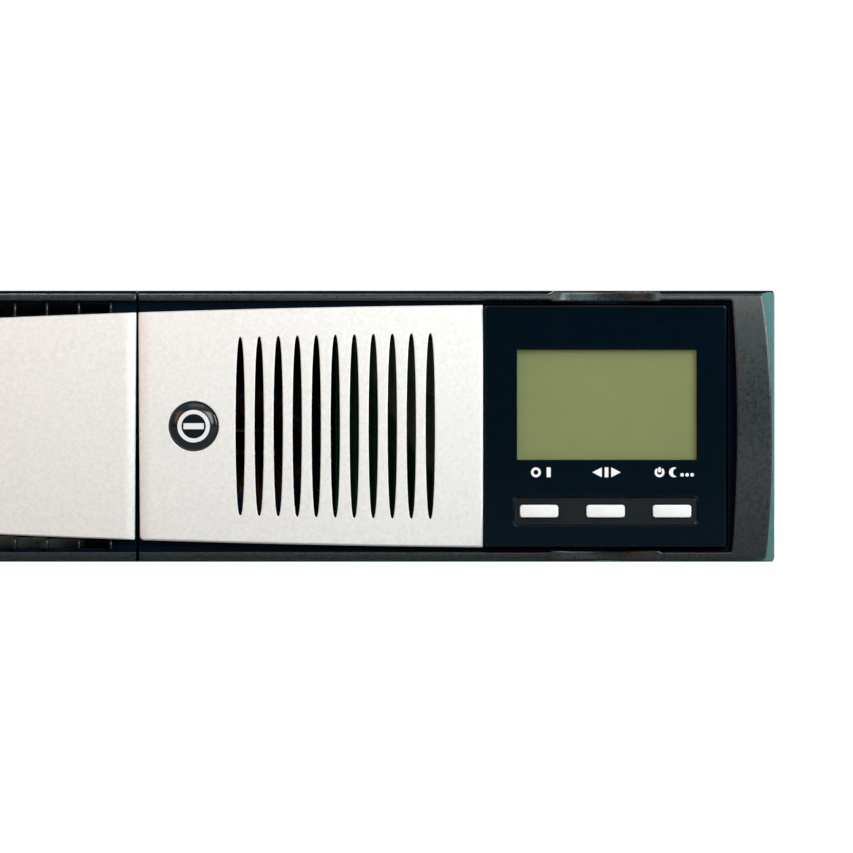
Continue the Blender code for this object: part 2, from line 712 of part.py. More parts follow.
def power_button(black, steel):
    """The round push button, its stem and its return spring, in the bezel's boss."""
    joint = joint_at("power_button_joint", (BUTTON_X, FRONT, MID_Z))
    profile = [(0, 0), (BUTTON_RADIUS - BUTTON_CHAMFER, 0), (BUTTON_RADIUS, BUTTON_CHAMFER)]
    profile += [(BUTTON_RADIUS, BUTTON_CAP), (STEM_RADIUS, BUTTON_CAP), (STEM_RADIUS, STEM_END), (0, STEM_END)]
    bm = bmesh.new()
    add_turned(bm, [(r, depth(y)) for r, y in profile], (BUTTON_X, MID_Z), 24)
    make("power_button", bm, black, joint, smooth=True)
    start = BUTTON_CAP + SPRING_WIRE + FIT_GAP
    end = BOSS_BACK - BOSS_WALL - SPRING_WIRE - FIT_GAP
    radius = (STEM_RADIUS + BUTTON_RADIUS) / 2
    steps = SPRING_TURNS * 12
    coil = []
    for i in range(steps + 1):
        turn = 2 * math.pi * SPRING_TURNS * i / steps
        y = depth(start + (end - start) * i / steps)
        coil.append((BUTTON_X + radius * math.cos(turn), y, MID_Z + radius * math.sin(turn)))
    bm = bmesh.new()
    add_tube(bm, coil, SPRING_WIRE, 5)
    make("power_button_spring", bm, steel, joint, smooth=True)


def power_switch(black):
    """The switch that the button's stem presses, held on the front plate."""
    y = (depth(STEM_END + BUTTON_TRAVEL + 0.003), CHASSIS_FRONT - SHEET - 2 * FIT_GAP)
    switch = box_piece("power_switch", around(BUTTON_X, 0.012), y, around(MID_Z, 0.012), black)
    plunger = bmesh.new()
    add_prism(plunger, circle(0.0018, (BUTTON_X, MID_Z), 12), "Y", depth(STEM_END + BUTTON_TRAVEL + FIT_GAP),
              y[0] + 0.001)
    fuse(switch, plunger)


# ---- Display module ----


def window_span():
    x = (MODULE_LEFT + WINDOW_SIDE, MODULE_RIGHT - WINDOW_SIDE)
    return x, (MODULE_MARGIN + WINDOW_BOTTOM, CASE_HEIGHT - MODULE_MARGIN - WINDOW_TOP)


def key_recess_span():
    x = (MODULE_LEFT + KEY_RECESS_SIDE, MODULE_RIGHT - KEY_RECESS_SIDE)
    low = MODULE_MARGIN + KEY_RECESS_BOTTOM
    return x, (low, low + KEY_RECESS_HEIGHT)


def key_places():
    """The three keys' middles, in the recess."""
    z = MODULE_MARGIN + KEY_RECESS_BOTTOM + KEY_RECESS_HEIGHT / 2
    return [(name, MODULE_X + i * KEY_PITCH, z) for name, i in (("on", -1), ("select", 0), ("standby", 1))]


def display_module(black, clear, lcd, green, white):
    """The square module: faceplate, clear window, liquid-crystal panel, board, three keys and housing."""
    joint = joint_at("display_joint", (MODULE_X, FRONT, MID_Z))
    span_x, span_z = around(MODULE_X, MODULE_SIZE), around(MID_Z, MODULE_SIZE)
    back = MODULE_FACE + FACEPLATE
    bm = bmesh.new()
    add_prism(bm, rounded(span_x, span_z, 0.0010), "Y", depth(MODULE_FACE), depth(back))
    faceplate = make("display_faceplate", bm, black, joint)
    window_x, window_z = window_span()
    recess_x, recess_z = key_recess_span()
    openings = bmesh.new()
    add_box(openings, window_x, (depth(0), depth(back + 0.001)), window_z)
    cut(faceplate, openings)
    recess = bmesh.new()
    add_prism(recess, rounded(recess_x, recess_z, 0.0013), "Y", depth(0), depth(MODULE_FACE + KEY_RECESS_DEPTH))
    cut(faceplate, recess)
    key_holes = bmesh.new()
    for _, x, z in key_places():
        add_box(key_holes, around(x, KEY_WIDTH + 2 * KEY_GAP), (depth(0), depth(back + 0.001)),
                around(z, KEY_HEIGHT + 2 * KEY_GAP))
    cut(faceplate, key_holes)
    housing_parts(black, joint, span_x, span_z, back)
    glass_parts(clear, lcd, joint, window_x, window_z, back)
    board_parts(green, joint, span_x, span_z)
    for name, x, z in key_places():
        key_cap(name, x, z, white, joint)


def housing_parts(black, joint, span_x, span_z, back):
    """The module's tub, with corner pillars for the board and the plug on its back."""
    bm = bmesh.new()
    add_box(bm, span_x, (depth(back + FIT_GAP), depth(MODULE_BACK)), span_z)
    housing = make("display_housing", bm, black, joint)
    hollow = bmesh.new()
    inner = MODULE_SIZE - 2 * MODULE_WALL
    add_box(hollow, around(MODULE_X, inner), (depth(0), depth(MODULE_BACK) - MODULE_WALL), around(MID_Z, inner))
    cut(housing, hollow)
    pillars = bmesh.new()
    reach = inner / 2 - 0.006
    for x in (MODULE_X - reach, MODULE_X + reach):
        for z in (MID_Z - reach, MID_Z + reach):
            add_prism(pillars, circle(0.003, (x, z), 10), "Y", depth(LCD_BACK + BOARD + 2 * FIT_GAP),
                      depth(MODULE_BACK - 0.0005))
    width, height, reach = DISPLAY_PLUG
    add_box(pillars, around(MODULE_X, width), (depth(MODULE_BACK - 0.0005), depth(MODULE_BACK + reach)),
            around(MID_Z, height))
    fuse(housing, pillars)


def glass_parts(clear, lcd, joint, window_x, window_z, back):
    face = MODULE_FACE + LENS_DROP
    lens_x = (window_x[0] + KEY_GAP, window_x[1] - KEY_GAP)
    lens_z = (window_z[0] + KEY_GAP, window_z[1] - KEY_GAP)
    box_piece("lcd_lens", lens_x, (depth(face), depth(face + LENS)), lens_z, clear, joint)
    panel_x = (window_x[0] - LCD_BORDER, window_x[1] + LCD_BORDER)
    panel_z = (window_z[0] - LCD_BORDER, window_z[1] + LCD_BORDER)
    box_piece("lcd_panel", panel_x, (depth(back + FIT_GAP), depth(LCD_BACK)), panel_z, lcd, joint)


def board_parts(green, joint, span_x, span_z):
    """The module's circuit board, with the three dome switches soldered on under the keys."""
    inset = MODULE_WALL + FIT_GAP
    board_x = (span_x[0] + inset, span_x[1] - inset)
    board_z = (span_z[0] + inset, span_z[1] - inset)
    face = LCD_BACK + FIT_GAP
    board = box_piece("display_board", board_x, (depth(face), depth(face + BOARD)), board_z, green, joint)
    switches = bmesh.new()
    for _, x, z in key_places():
        add_box(switches, around(x, 0.006), (depth(face - 0.0018), depth(face + BOARD / 2)), around(z, 0.006))
    fuse(board, switches)


def key_cap(name, x, z, white, joint):
    """A key: a small cap that stands proud of the recess, with a shoulder behind the faceplate."""
    joint_on_key = joint_at(f"key_{name}_joint", (x, FRONT, z))
    joint_on_key.parent = joint
    joint_on_key.location = Vector((x, FRONT, z)) - joint.location
    bm = bmesh.new()
    face = MODULE_FACE + KEY_RECESS_DEPTH - 0.0012
    shoulder = MODULE_FACE + FACEPLATE + FIT_GAP
    add_prism(bm, rounded(around(x, KEY_WIDTH), around(z, KEY_HEIGHT), 0.0008, 2), "Y", depth(face),
              depth(shoulder + 0.001))
    mesh = mesh_of(bm, f"key_{name}")
    mesh.materials.append(white)
    mesh.transform(Matrix.Translation((-x, -FRONT, -z)))
    key = bpy.data.objects.new(f"key_{name}", mesh)
    key.parent = joint_on_key
    bpy.context.collection.objects.link(key)
    flange = bmesh.new()
    add_box(flange, around(x, KEY_WIDTH + 0.0014), (depth(shoulder), depth(shoulder + 0.0012)),
            around(z, KEY_HEIGHT + 0.0014))
    stalk_end = LCD_BACK + FIT_GAP - 0.0018 - KEY_TRAVEL - FIT_GAP
    fuse(key, flange)
    stalk = bmesh.new()
    add_box(stalk, around(x, 0.003), (depth(shoulder + 0.0008), depth(stalk_end)), around(z, 0.003))
    fuse(key, stalk)


def display_socket(black):
    """The fixed socket behind the well, held in the front plate, which takes the module's plug."""
    width, height, reach = DISPLAY_PLUG
    y = (depth(MODULE_BACK + 0.0035), depth(MODULE_BACK + reach + 0.004))
    wall, play = 0.0007, FIT_GAP
    outside = [around(MODULE_X, width + 2 * (wall + play)), around(MID_Z, height + 2 * (wall + play))]
    socket = box_piece("display_socket", outside[0], y, outside[1], black)
    mouth = bmesh.new()
    add_box(mouth, around(MODULE_X, width + 2 * play), (y[0] - 0.001, depth(MODULE_BACK + reach + 0.001)),
            around(MID_Z, height + 2 * play))
    cut(socket, mouth)


# ---- Battery pack ----


def tray_span():
    x = (BAY_LEFT + SLIDE_GAP, BAY_RIGHT - SLIDE_GAP)
    y = (CHASSIS_FRONT - 0.001, BAY_REAR - 0.0085)
    return x, y


def battery_size():
    """Each battery fills a quarter of the tray, on its side. Its terminals face the channel."""
    x, y = tray_span()
    inside = x[1] - x[0] - 2 * SHEET
    across = (inside - CHANNEL) / 2 - BATTERY_GAP
    along = (y[1] - y[0] - 2 * SHEET - HARNESS_SPACE - 3 * BATTERY_GAP) / 2
    low = 2 * SHEET + 2 * FIT_GAP
    return across, along, (low, CASE_HEIGHT - BATTERY_TOP_SPACE)


def plug_centre():
    x, _ = tray_span()
    return (x[0] + x[1]) / 2, MID_Z - PLUG_DROP


def socket_size():
    """The outside of the socket that takes the pack's plug."""
    return [size + 2 * (PLUG_CLEARANCE + SOCKET_WALL) for size in PLUG_SIZE]


def battery_pack(steel, case_grey, wire, black):
    joint = joint_at("battery_pack_joint", ((BAY_LEFT + BAY_RIGHT) / 2, CHASSIS_FRONT, 0))
    battery_tray(steel, joint)
    x, y = tray_span()
    across, along, z = battery_size()
    tab_z = (z[0] + z[1]) / 2
    channel = (x[0] + SHEET + BATTERY_GAP + across, x[1] - SHEET - BATTERY_GAP - across)
    starts = [y[0] + SHEET + BATTERY_GAP, y[0] + SHEET + 2 * BATTERY_GAP + along]
    tabs = {}
    for side, face, sign in (("left", channel[0], 1), ("right", channel[1], -1)):
        for row, start in zip(("front", "rear"), starts):
            span = (min(face, face - sign * across), max(face, face - sign * across))
            name = f"battery_{side}_{row}"
            battery = box_piece(name, span, (start, start + along), z, case_grey, joint)
            bevel = battery.modifiers.new("Bevel", "BEVEL")
            bevel.width = BATTERY_BEVEL
            bevel.segments = 1
            blades = bmesh.new()
            for end, middle in (("near", start + 0.012), ("far", start + along - 0.012)):
                reach = sorted((face - sign * 0.002, face + sign * TAB[2]))
                add_box(blades, reach, around(middle, TAB[1]), around(tab_z, TAB[0]))
                tabs[side, row, end] = (face + sign * (TAB[2] + FIT_GAP), middle, tab_z)
            fuse(battery, blades)
    link_wires(tabs, wire, joint)
    battery_harness(tabs, black, joint)


def battery_tray(steel, joint):
    """The steel drawer: floor, low sides, a front wall with a lip to pull, and a low rear wall."""
    x, y = tray_span()
    z = SHEET + FIT_GAP
    tray = box_piece("battery_tray", x, y, (z, z + TRAY_WALL_HEIGHT), steel, joint)
    hollow = bmesh.new()
    add_box(hollow, (x[0] + SHEET, x[1] - SHEET), (y[0] + SHEET, y[1] - SHEET), (z + SHEET, CASE_HEIGHT))
    cut(tray, hollow)
    front = bmesh.new()
    top = CASE_HEIGHT - BAY_TOP_RAIL - TRAY_TO_OPENING
    wall = [(y[0], z + SHEET), (y[0] + SHEET, z + SHEET), (y[0] + SHEET, top), (y[0] - TRAY_LIP, top)]
    wall += [(y[0] - TRAY_LIP, top - SHEET), (y[0], top - SHEET)]
    add_prism(front, wall, "X", *x)
    fuse(tray, front)
    gap = bmesh.new()
    plug_x, plug_z = plug_centre()
    add_box(gap, around(plug_x, PLUG_SIZE[0] + 0.006), (y[1] - 2 * SHEET, y[1] + SHEET),
            (plug_z - PLUG_SIZE[1] / 2 - 0.004, CASE_HEIGHT))
    cut(tray, gap)


def link_wires(tabs, wire, joint):
    """The two arched wires that join each row's front and rear batteries, and the fuse between the rows."""
    for side in ("left", "right"):
        start, end = Vector(tabs[side, "front", "far"]), Vector(tabs[side, "rear", "near"])
        offset = Vector((WIRE_RADIUS if side == "left" else -WIRE_RADIUS, 0, 0))
        points = []
        for i in range(9):
            share = i / 8
            arch = Vector((0, 0, 0.006 * math.sin(math.pi * share)))
            points.append(start.lerp(end, share) + offset + arch)
        bm = bmesh.new()
        add_tube(bm, points, WIRE_RADIUS, 8)
        make(f"battery_link_{side}", bm, wire, joint, smooth=True)
    left, right = tabs["left", "rear", "far"], tabs["right", "rear", "far"]
    box_piece("battery_fuse", (left[0], right[0]), around(left[1], 0.010), around(left[2], 0.004), wire, joint)


def battery_harness(tabs, black, joint):
    """The rear plug with its two leads, which run along the channel to the front batteries."""
    x, y = tray_span()
    plug_x, plug_z = plug_centre()
    plug_y = (y[1] - SHEET - 0.012, BAY_REAR + 0.006)
    span_x, span_z = around(plug_x, PLUG_SIZE[0]), around(plug_z, PLUG_SIZE[1])
    harness = box_piece("battery_harness", span_x, plug_y, span_z, black, joint)
    leads = bmesh.new()
    for side, sign in (("left", -1), ("right", 1)):
        tip = Vector(tabs[side, "front", "near"]) - Vector((sign * WIRE_RADIUS, 0, 0))
        lane_x = plug_x + sign * 0.0028
        lane_z = plug_z
        points = [tip]
        drop = 0.030
        for i in range(1, 9):
            share = i / 8
            ease = share * share * (3 - 2 * share)
            x_now, z_now = tip.x + (lane_x - tip.x) * ease, tip.z + (lane_z - tip.z) * ease
            points.append(Vector((x_now, tip.y + drop * share, z_now)))
        points.append(Vector((lane_x, plug_y[0] + 0.004, lane_z)))
        add_tube(leads, points, WIRE_RADIUS, 8)
    fuse(harness, leads)


def battery_socket(black):
    """The bay's rear socket, which the pack's plug enters as the tray goes home."""
    plug_x, plug_z = plug_centre()
    y = (BAY_REAR - 0.004, BAY_REAR + 0.016)
    width, height = socket_size()
    socket = box_piece("battery_socket", around(plug_x, width), y, around(plug_z, height), black)
    mouth = bmesh.new()
    span_x = around(plug_x, width - 2 * SOCKET_WALL)
    add_box(mouth, span_x, (y[0] - 0.001, BAY_REAR + 0.0070), around(plug_z, height - 2 * SOCKET_WALL))
    cut(socket, mouth)


# ---- Electronics ----


def board_span():
    """The main board fills the right of the case, in front of the fan."""
    x = (BAY_RIGHT + SHEET + BOARD_MARGIN, RIGHT - 2 * SHEET - BOARD_MARGIN)
    return x, (CHASSIS_FRONT + BOARD_FRONT_SPACE, REAR_INSIDE - FAN_THICKNESS - BOARD_TO_FAN)


def standoff_places():
    x, y = board_span()
    inset = STANDOFF_INSET
    return [(a, b) for a in (x[0] + inset, x[1] - inset) for b in (y[0] + inset, sum(y) / 2, y[1] - inset)]


def electronics(green, aluminium, copper, blue, black):
    x, y = board_span()
    low = SHEET + STANDOFF + FIT_GAP
    top = low + BOARD
    main = box_piece("main_board", x, y, (low, top), green)
    middle = sum(x) / 2
    relays = bmesh.new()
    width, length, height = RELAY
    for row in range(2):
        start = y[1] - RELAY_PITCH - length + row * RELAY_PITCH - 0.004
        add_box(relays, around(middle, width), (start, start + length), (top - 0.0005, top + height))
    fuse(main, relays)
    floor = top + FIT_GAP
    sink_y = (y[0] + SINK_START, y[1] - SINK_END)
    heatsink("heatsink_left", x[0] + SINK_MARGIN, sink_y, floor, aluminium)
    heatsink("heatsink_right", x[1] - SINK_MARGIN - SINK_WIDTH, sink_y, floor, aluminium)
    for name, row in zip(("output_inductor", "boost_inductor"), INDUCTOR_ROWS):
        inductor(name, (x[0] + INDUCTOR_X, y[0] + row), floor, copper)
    for i in range(2):
        bm = bmesh.new()
        centre = (middle + 0.020 + i * CAPACITOR_PITCH, y[0] + CAPACITOR_ROW)
        add_prism(bm, circle(CAPACITOR_RADIUS, centre, 16), "Z", floor, floor + CAPACITOR_HEIGHT)
        make(f"bus_capacitor_{i + 1}", bm, blue, smooth=True)
    control_x = (middle - 0.030, x[1] - 0.014)
    control_y = (y[0] + 0.006, y[0] + 0.006 + BOARD)
    control_z = (floor, CASE_HEIGHT - SHEET - CONTROL_BOARD_TOP_SPACE)
    control = box_piece("control_board", control_x, control_y, control_z, green)
    header = bmesh.new()
    add_box(header, around(middle + 0.02, 0.030), (y[0], y[0] + 0.0065), around(floor + 0.010, 0.010))
    fuse(control, header)


def heatsink(name, left, y, floor, aluminium):
    """An extruded sink: a thick back plate with fins to one side, as one comb-shaped section."""
    teeth = int((SINK_HEIGHT - SINK_FIN) / SINK_PITCH)
    inner, outer = left + SINK_PLATE, left + SINK_WIDTH
    outline = [(left, floor)]
    for i in range(teeth + 1):
        z = floor + i * SINK_PITCH
        outline += [(outer, z), (outer, z + SINK_FIN)]
        if i < teeth:
            outline += [(inner, z + SINK_FIN), (inner, z + SINK_PITCH)]
    outline.append((left, floor + teeth * SINK_PITCH + SINK_FIN))
    bm = bmesh.new()
    add_prism(bm, outline, "Y", *y)
    make(name, bm, aluminium)


def inductor(name, centre, floor, copper):
    """A toroid that stands on its edge, with its axis along Y."""
    bm = bmesh.new()
    height = floor + INDUCTOR_RADIUS + INDUCTOR_COIL
    add_torus(bm, (centre[0], centre[1], height), INDUCTOR_RADIUS, INDUCTOR_COIL, 20, 10)
    make(name, bm, copper, smooth=True)


# ---- Fan ----


def fan_centre():
    return (RIGHT - 2 * SHEET - FIT_GAP - 0.004 - FAN_SIZE / 2, MID_Z)


def fan_screw_places():
    reach = FAN_SIZE / 2 - 0.0043
    x, z = fan_centre()
    return [(x + a * reach, z + b * reach) for a in (-1, 1) for b in (-1, 1)]


def fan(black, steel, zinc):
    centre_x, centre_z = fan_centre()
    y = (REAR_INSIDE - FIT_GAP - FAN_THICKNESS, REAR_INSIDE - FIT_GAP)
    bm = bmesh.new()
    span = rounded(around(centre_x, FAN_SIZE), around(centre_z, FAN_SIZE), 0.003, 2)
    add_prism(bm, span, "Y", *y)
    frame = make("fan_frame", bm, black)
    bore = FAN_SIZE / 2 - FAN_WALL
    hub = FAN_SIZE * 0.19
    hole = bmesh.new()
    add_prism(hole, circle(bore, (centre_x, centre_z), 32), "Y", y[0] - 0.001, y[1] + 0.001)
    for place_xz in fan_screw_places():
        add_prism(hole, circle(0.0022, place_xz, 10), "Y", y[0] - 0.001, y[1] + 0.001)
    cut(frame, hole)
    struts = bmesh.new()
    strut_y = (y[1] - 0.004, y[1] - 0.001)
    add_box(struts, around(centre_x, 2 * bore + 0.001), strut_y, around(centre_z, 0.003))
    add_box(struts, around(centre_x, 0.003), strut_y, around(centre_z, 2 * bore + 0.001))
    fuse(frame, struts)
    motor = bmesh.new()
    add_prism(motor, circle(hub, (centre_x, centre_z), 16), "Y", strut_y[0] - 0.001, strut_y[1] + 0.0005)
    fuse(frame, motor)
    fan_rotor(black, (y[0] + 0.0015, strut_y[0] - 0.001 - ROTOR_GAP), hub, bore - ROTOR_GAP)
    fan_guard(steel, bore)
    for name, (x, z) in zip(("low_left", "high_left", "low_right", "high_right"), fan_screw_places()):
        bm = bmesh.new()
        head, shank = 0.0036, 0.0019
        outside = REAR_FACE + FIT_GAP + 0.0016 + FIT_GAP
        profile = [(0, y[0] + 0.004), (shank, y[0] + 0.004), (shank, outside), (head, outside)]
        profile += [(head, outside + 0.0010), (head * 0.6, outside + 0.0020), (0, outside + 0.0020)]
        add_turned(bm, profile, (x, z), 10)
        make(f"fan_screw_{name}", bm, zinc, smooth=True)


def fan_rotor(black, y, hub, tip):
    """The hub cup and its seven twisted blades, on the fan's axis."""
    centre_x, centre_z = fan_centre()
    joint = joint_at("fan_rotor_joint", (centre_x, (y[0] + y[1]) / 2, centre_z))
    bm = bmesh.new()
    add_prism(bm, circle(hub, (centre_x, centre_z), 21), "Y", *y)
    rotor = make("fan_rotor", bm, black, joint)
    blades = bmesh.new()
    thickness = 0.0012
    for k in range(BLADES):
        loops = []
        for i in range(4):
            radius = hub - 0.002 + (tip - hub + 0.002) * i / 3
            loop = []
            for share, side in ((0, 0), (0.5, 0), (1, 0), (1, 1), (0.5, 1), (0, 1)):
                turn = 2 * math.pi * k / BLADES + (0.60 + 0.10 * i) * (share - 0.5) + 0.16 * i
                along = y[0] + 0.0015 + (y[1] - y[0] - 0.003 - thickness) * share + thickness * side
                x, z = centre_x + radius * math.cos(turn), centre_z + radius * math.sin(turn)
                loop.append(blades.verts.new((x, along, z)))
            loops.append(loop)
        for near, far in zip(loops, loops[1:]):
            for i in range(6):
                blades.faces.new((near[i - 1], near[i], far[i], far[i - 1]))
        for loop in (loops[0], loops[-1]):
            blades.faces.new((loop[0], loop[1], loop[4], loop[5]))
            blades.faces.new((loop[1], loop[2], loop[3], loop[4]))
    fuse(rotor, blades)


def fan_guard(steel, bore):
    """The wire guard: four rings on two crossed bars that reach the screws."""
    centre_x, centre_z = fan_centre()
    wire = 0.0008
    y = REAR_FACE + FIT_GAP + wire
    bm = bmesh.new()
    for i in range(4):
        add_torus(bm, (centre_x, y + wire * 0.8, centre_z), bore * (0.28 + 0.22 * i), wire, 28, 6)
    guard = make("fan_guard", bm, steel, smooth=True)
    arms = bmesh.new()
    low_left, high_left, low_right, high_right = fan_screw_places()
    for (start, end), lift in (((low_left, high_right), 0.0003), ((high_left, low_right), -0.0002)):
        add_tube(arms, [(x, y + lift, z) for x, z in (start, end)], wire * 0.9, 6)
    fuse(guard, arms)
    eyes = bmesh.new()
    for place_xz in fan_screw_places():
        ring = (circle(0.0040, place_xz, 12), circle(0.0022, place_xz, 12))
        add_ring_prism(eyes, *ring, "Y", y - wire, y + wire)
    fuse(guard, eyes)
    holes = bmesh.new()
    for place_xz in fan_screw_places():
        add_prism(holes, circle(0.0022, place_xz, 12), "Y", y - 0.003, y + 0.003)
    cut(guard, holes)


# ---- Rear fittings ----


def bank_x():
    return (LEFT + BAY_RIGHT) / 2


def rear_places():
    """The middle of each fitting, in (x, z)."""
    low, top = SHEET, CASE_HEIGHT - SHEET
    bank_rise = OUTLET_MARGIN + OUTLET_FLANGE_HEIGHT / 2
    column = BAY_RIGHT + SHEET + REAR_COLUMN
    slot_x = column + 0.058
    return {
        "outlet_bank_lower": (bank_x(), low + bank_rise),
        "outlet_bank_upper": (bank_x(), top - bank_rise),
        "inlet_socket": (column, low + INLET_Z),
        "breaker_body": (column, top - BREAKER_Z),
        "ground_screw": (column - 0.018, MID_Z + 0.003),
        "stop_terminal": (column + 0.010, MID_Z + 0.003),
        "slot_cover": (slot_x, top - 0.009 - SLOT_COVER[1] / 2),
        "usb_port": (slot_x - 0.020, low + PORT_Z),
        "serial_port": (slot_x + 0.011, low + PORT_Z),
    }


def rear_cutouts():
    """The rear panel's square openings, as ((x, z), (width, height))."""
    places = rear_places()
    bank = OUTLETS_PER_BANK * OUTLET_PITCH - 0.0016
    sizes = {
        "outlet_bank_lower": (bank, OUTLET_BODY_HEIGHT),
        "outlet_bank_upper": (bank, OUTLET_BODY_HEIGHT),
        "inlet_socket": INLET_BODY,
        "stop_terminal": STOP_TERMINAL,
        "slot_cover": [size - 2 * SLOT_COVER_LAP for size in SLOT_COVER],
        "usb_port": USB_PORT,
        "serial_port": SERIAL_PORT,
    }
    return [(places[name], [side + 2 * FITTING_GAP for side in size]) for name, size in sizes.items()]


def pin_face(x, z, half_width, half_height, chamfer):
    """The six-sided outline of an appliance socket, with its two upper corners cut off."""
    return [
        (x - half_width, z - half_height), (x + half_width, z - half_height),
        (x + half_width, z + half_height - chamfer), (x + half_width - chamfer, z + half_height),
        (x - half_width + chamfer, z + half_height), (x - half_width, z + half_height - chamfer),
    ]


def pin_places(x, z, low, high):
    """A connector's two live pins, side by side, and its earth pin above and between them."""
    return [(x - PIN_SPREAD, z + low), (x + PIN_SPREAD, z + low), (x, z + high)]


def outlet_bank(name, black):
    """Four appliance outlets in one moulding: each has a groove for the plug's shroud and three slots."""
    x, z = rear_places()[name]
    width = OUTLETS_PER_BANK * OUTLET_PITCH
    outside = (REAR_FACE + FIT_GAP, REAR_FACE + FIT_GAP + SOCKET_FLANGE)
    bank = box_piece(name, around(x, width + 0.003), outside, around(z, OUTLET_FLANGE_HEIGHT), black)
    body = bmesh.new()
    add_box(body, around(x, width - 0.0016), (REAR_FACE - OUTLET_BODY_DEPTH, outside[1] - 0.001),
            around(z, OUTLET_BODY_HEIGHT))
    fuse(bank, body)
    grooves = bmesh.new()
    slots = bmesh.new()
    cut_y = (REAR_FACE - SHROUD_DEPTH, outside[1] + 0.001)
    half_width, half_height, chamfer = SHROUD
    core = (half_width - SHROUD_GROOVE, half_height - SHROUD_GROOVE, chamfer - SHROUD_GROOVE * 0.42)
    for i in range(OUTLETS_PER_BANK):
        middle = x + (i - (OUTLETS_PER_BANK - 1) / 2) * OUTLET_PITCH
        add_ring_prism(grooves, pin_face(middle, z, *SHROUD), pin_face(middle, z, *core), "Y", *cut_y)
        for slot_x, slot_z in pin_places(middle, z, -0.0018, 0.0022):
            add_box(slots, around(slot_x, PIN_SLOT[0]), cut_y, around(slot_z, PIN_SLOT[1]))
    cut(bank, grooves)
    cut(bank, slots)


def inlet_socket(black):
    """The mains inlet: a flanged body with a deep recess around three flat pins."""
    x, z = rear_places()["inlet_socket"]
    outside = (REAR_FACE + FIT_GAP, REAR_FACE + FIT_GAP + SOCKET_FLANGE)
    inlet = box_piece("inlet_socket", around(x, INLET_FLANGE[0]), outside, around(z, INLET_FLANGE[1]), black)
    body = bmesh.new()
    add_box(body, around(x, INLET_BODY[0]), (REAR_FACE - 0.020, outside[1] - 0.001), around(z, INLET_BODY[1]))
    fuse(inlet, body)
    recess = bmesh.new()
    floor = REAR_FACE - SHROUD_DEPTH - 0.0005
    add_prism(recess, pin_face(x, z, *INLET_RECESS), "Y", floor, outside[1] + 0.001)
    cut(inlet, recess)
    pins = bmesh.new()
    for pin_x, pin_z in pin_places(x, z, -0.002, 0.002):
        pin_y = (floor - 0.002, REAR_FACE + 0.0005)
        add_box(pins, around(pin_x, INLET_PIN[0]), pin_y, around(pin_z, INLET_PIN[1]))
    fuse(inlet, pins)


def breaker(black):
    """The input breaker: a body behind the panel with a collar through it, and its reset button."""
    x, z = rear_places()["breaker_body"]
    body_y = (REAR_INSIDE - 0.024, REAR_INSIDE - FIT_GAP)
    body = box_piece("breaker_body", around(x, 0.016), body_y, around(z, 0.022), black)
    collar = bmesh.new()
    collar_end = REAR_FACE + 0.0035
    add_prism(collar, circle(BREAKER_COLLAR, (x, z), 16), "Y", REAR_INSIDE - 0.001, collar_end)
    fuse(body, collar)
    bore = bmesh.new()
    button = BREAKER_COLLAR - 0.0025
    floor = REAR_INSIDE - 0.008
    add_prism(bore, circle(button + FIT_GAP, (x, z), 16), "Y", floor, collar_end + 0.001)
    cut(body, bore)
    joint = joint_at("breaker_button_joint", (x, REAR_FACE, z))
    bm = bmesh.new()
    end = REAR_FACE + REAR_REACH
    profile = [(0, floor + FIT_GAP), (button, floor + FIT_GAP), (button, end - 0.0006)]
    profile += [(button - 0.0006, end), (0, end)]
    add_turned(bm, profile, (x, z), 16)
    make("breaker_button", bm, black, joint, smooth=True)


def small_fittings(steel, zinc, black, green):
    places = rear_places()
    outside = REAR_FACE + FIT_GAP
    x, z = places["slot_cover"]
    span_x, span_z = around(x, SLOT_COVER[0]), around(z, SLOT_COVER[1])
    box_piece("slot_cover", span_x, (outside, outside + SHEET), span_z, steel)
    port_piece("usb_port", USB_PORT, 0.0016, zinc)
    port_piece("serial_port", SERIAL_PORT, 0.0010, zinc)
    port_piece("stop_terminal", STOP_TERMINAL, 0.0014, green)
    bm = bmesh.new()
    shank, head = GROUND_SCREW_RADIUS, 2.1 * GROUND_SCREW_RADIUS
    profile = [(0, REAR_INSIDE - 0.006), (shank, REAR_INSIDE - 0.006), (shank, outside), (head, outside)]
    profile += [(head, outside + 0.0024), (head - 0.0008, outside + 0.0032), (0, outside + 0.0032)]
    add_turned(bm, profile, places["ground_screw"], 12)
    make("ground_screw", bm, zinc, smooth=True)


def port_piece(name, size, wall, material):
    """A small connector: a shell through the panel, with a shallow mouth around a raised tongue."""
    x, z = rear_places()[name]
    y = (REAR_INSIDE - 0.010, REAR_FACE + 0.0020)
    port = box_piece(name, around(x, size[0]), y, around(z, size[1]), material)
    opening = bmesh.new()
    mouth = [side - 2 * wall for side in size]
    rings = [rectangle(around(x, mouth[0] * share), around(z, mouth[1] * share)) for share in (1, 0.5)]
    add_ring_prism(opening, *rings, "Y", REAR_FACE - 0.006, REAR_FACE + 0.003)
    cut(port, opening)


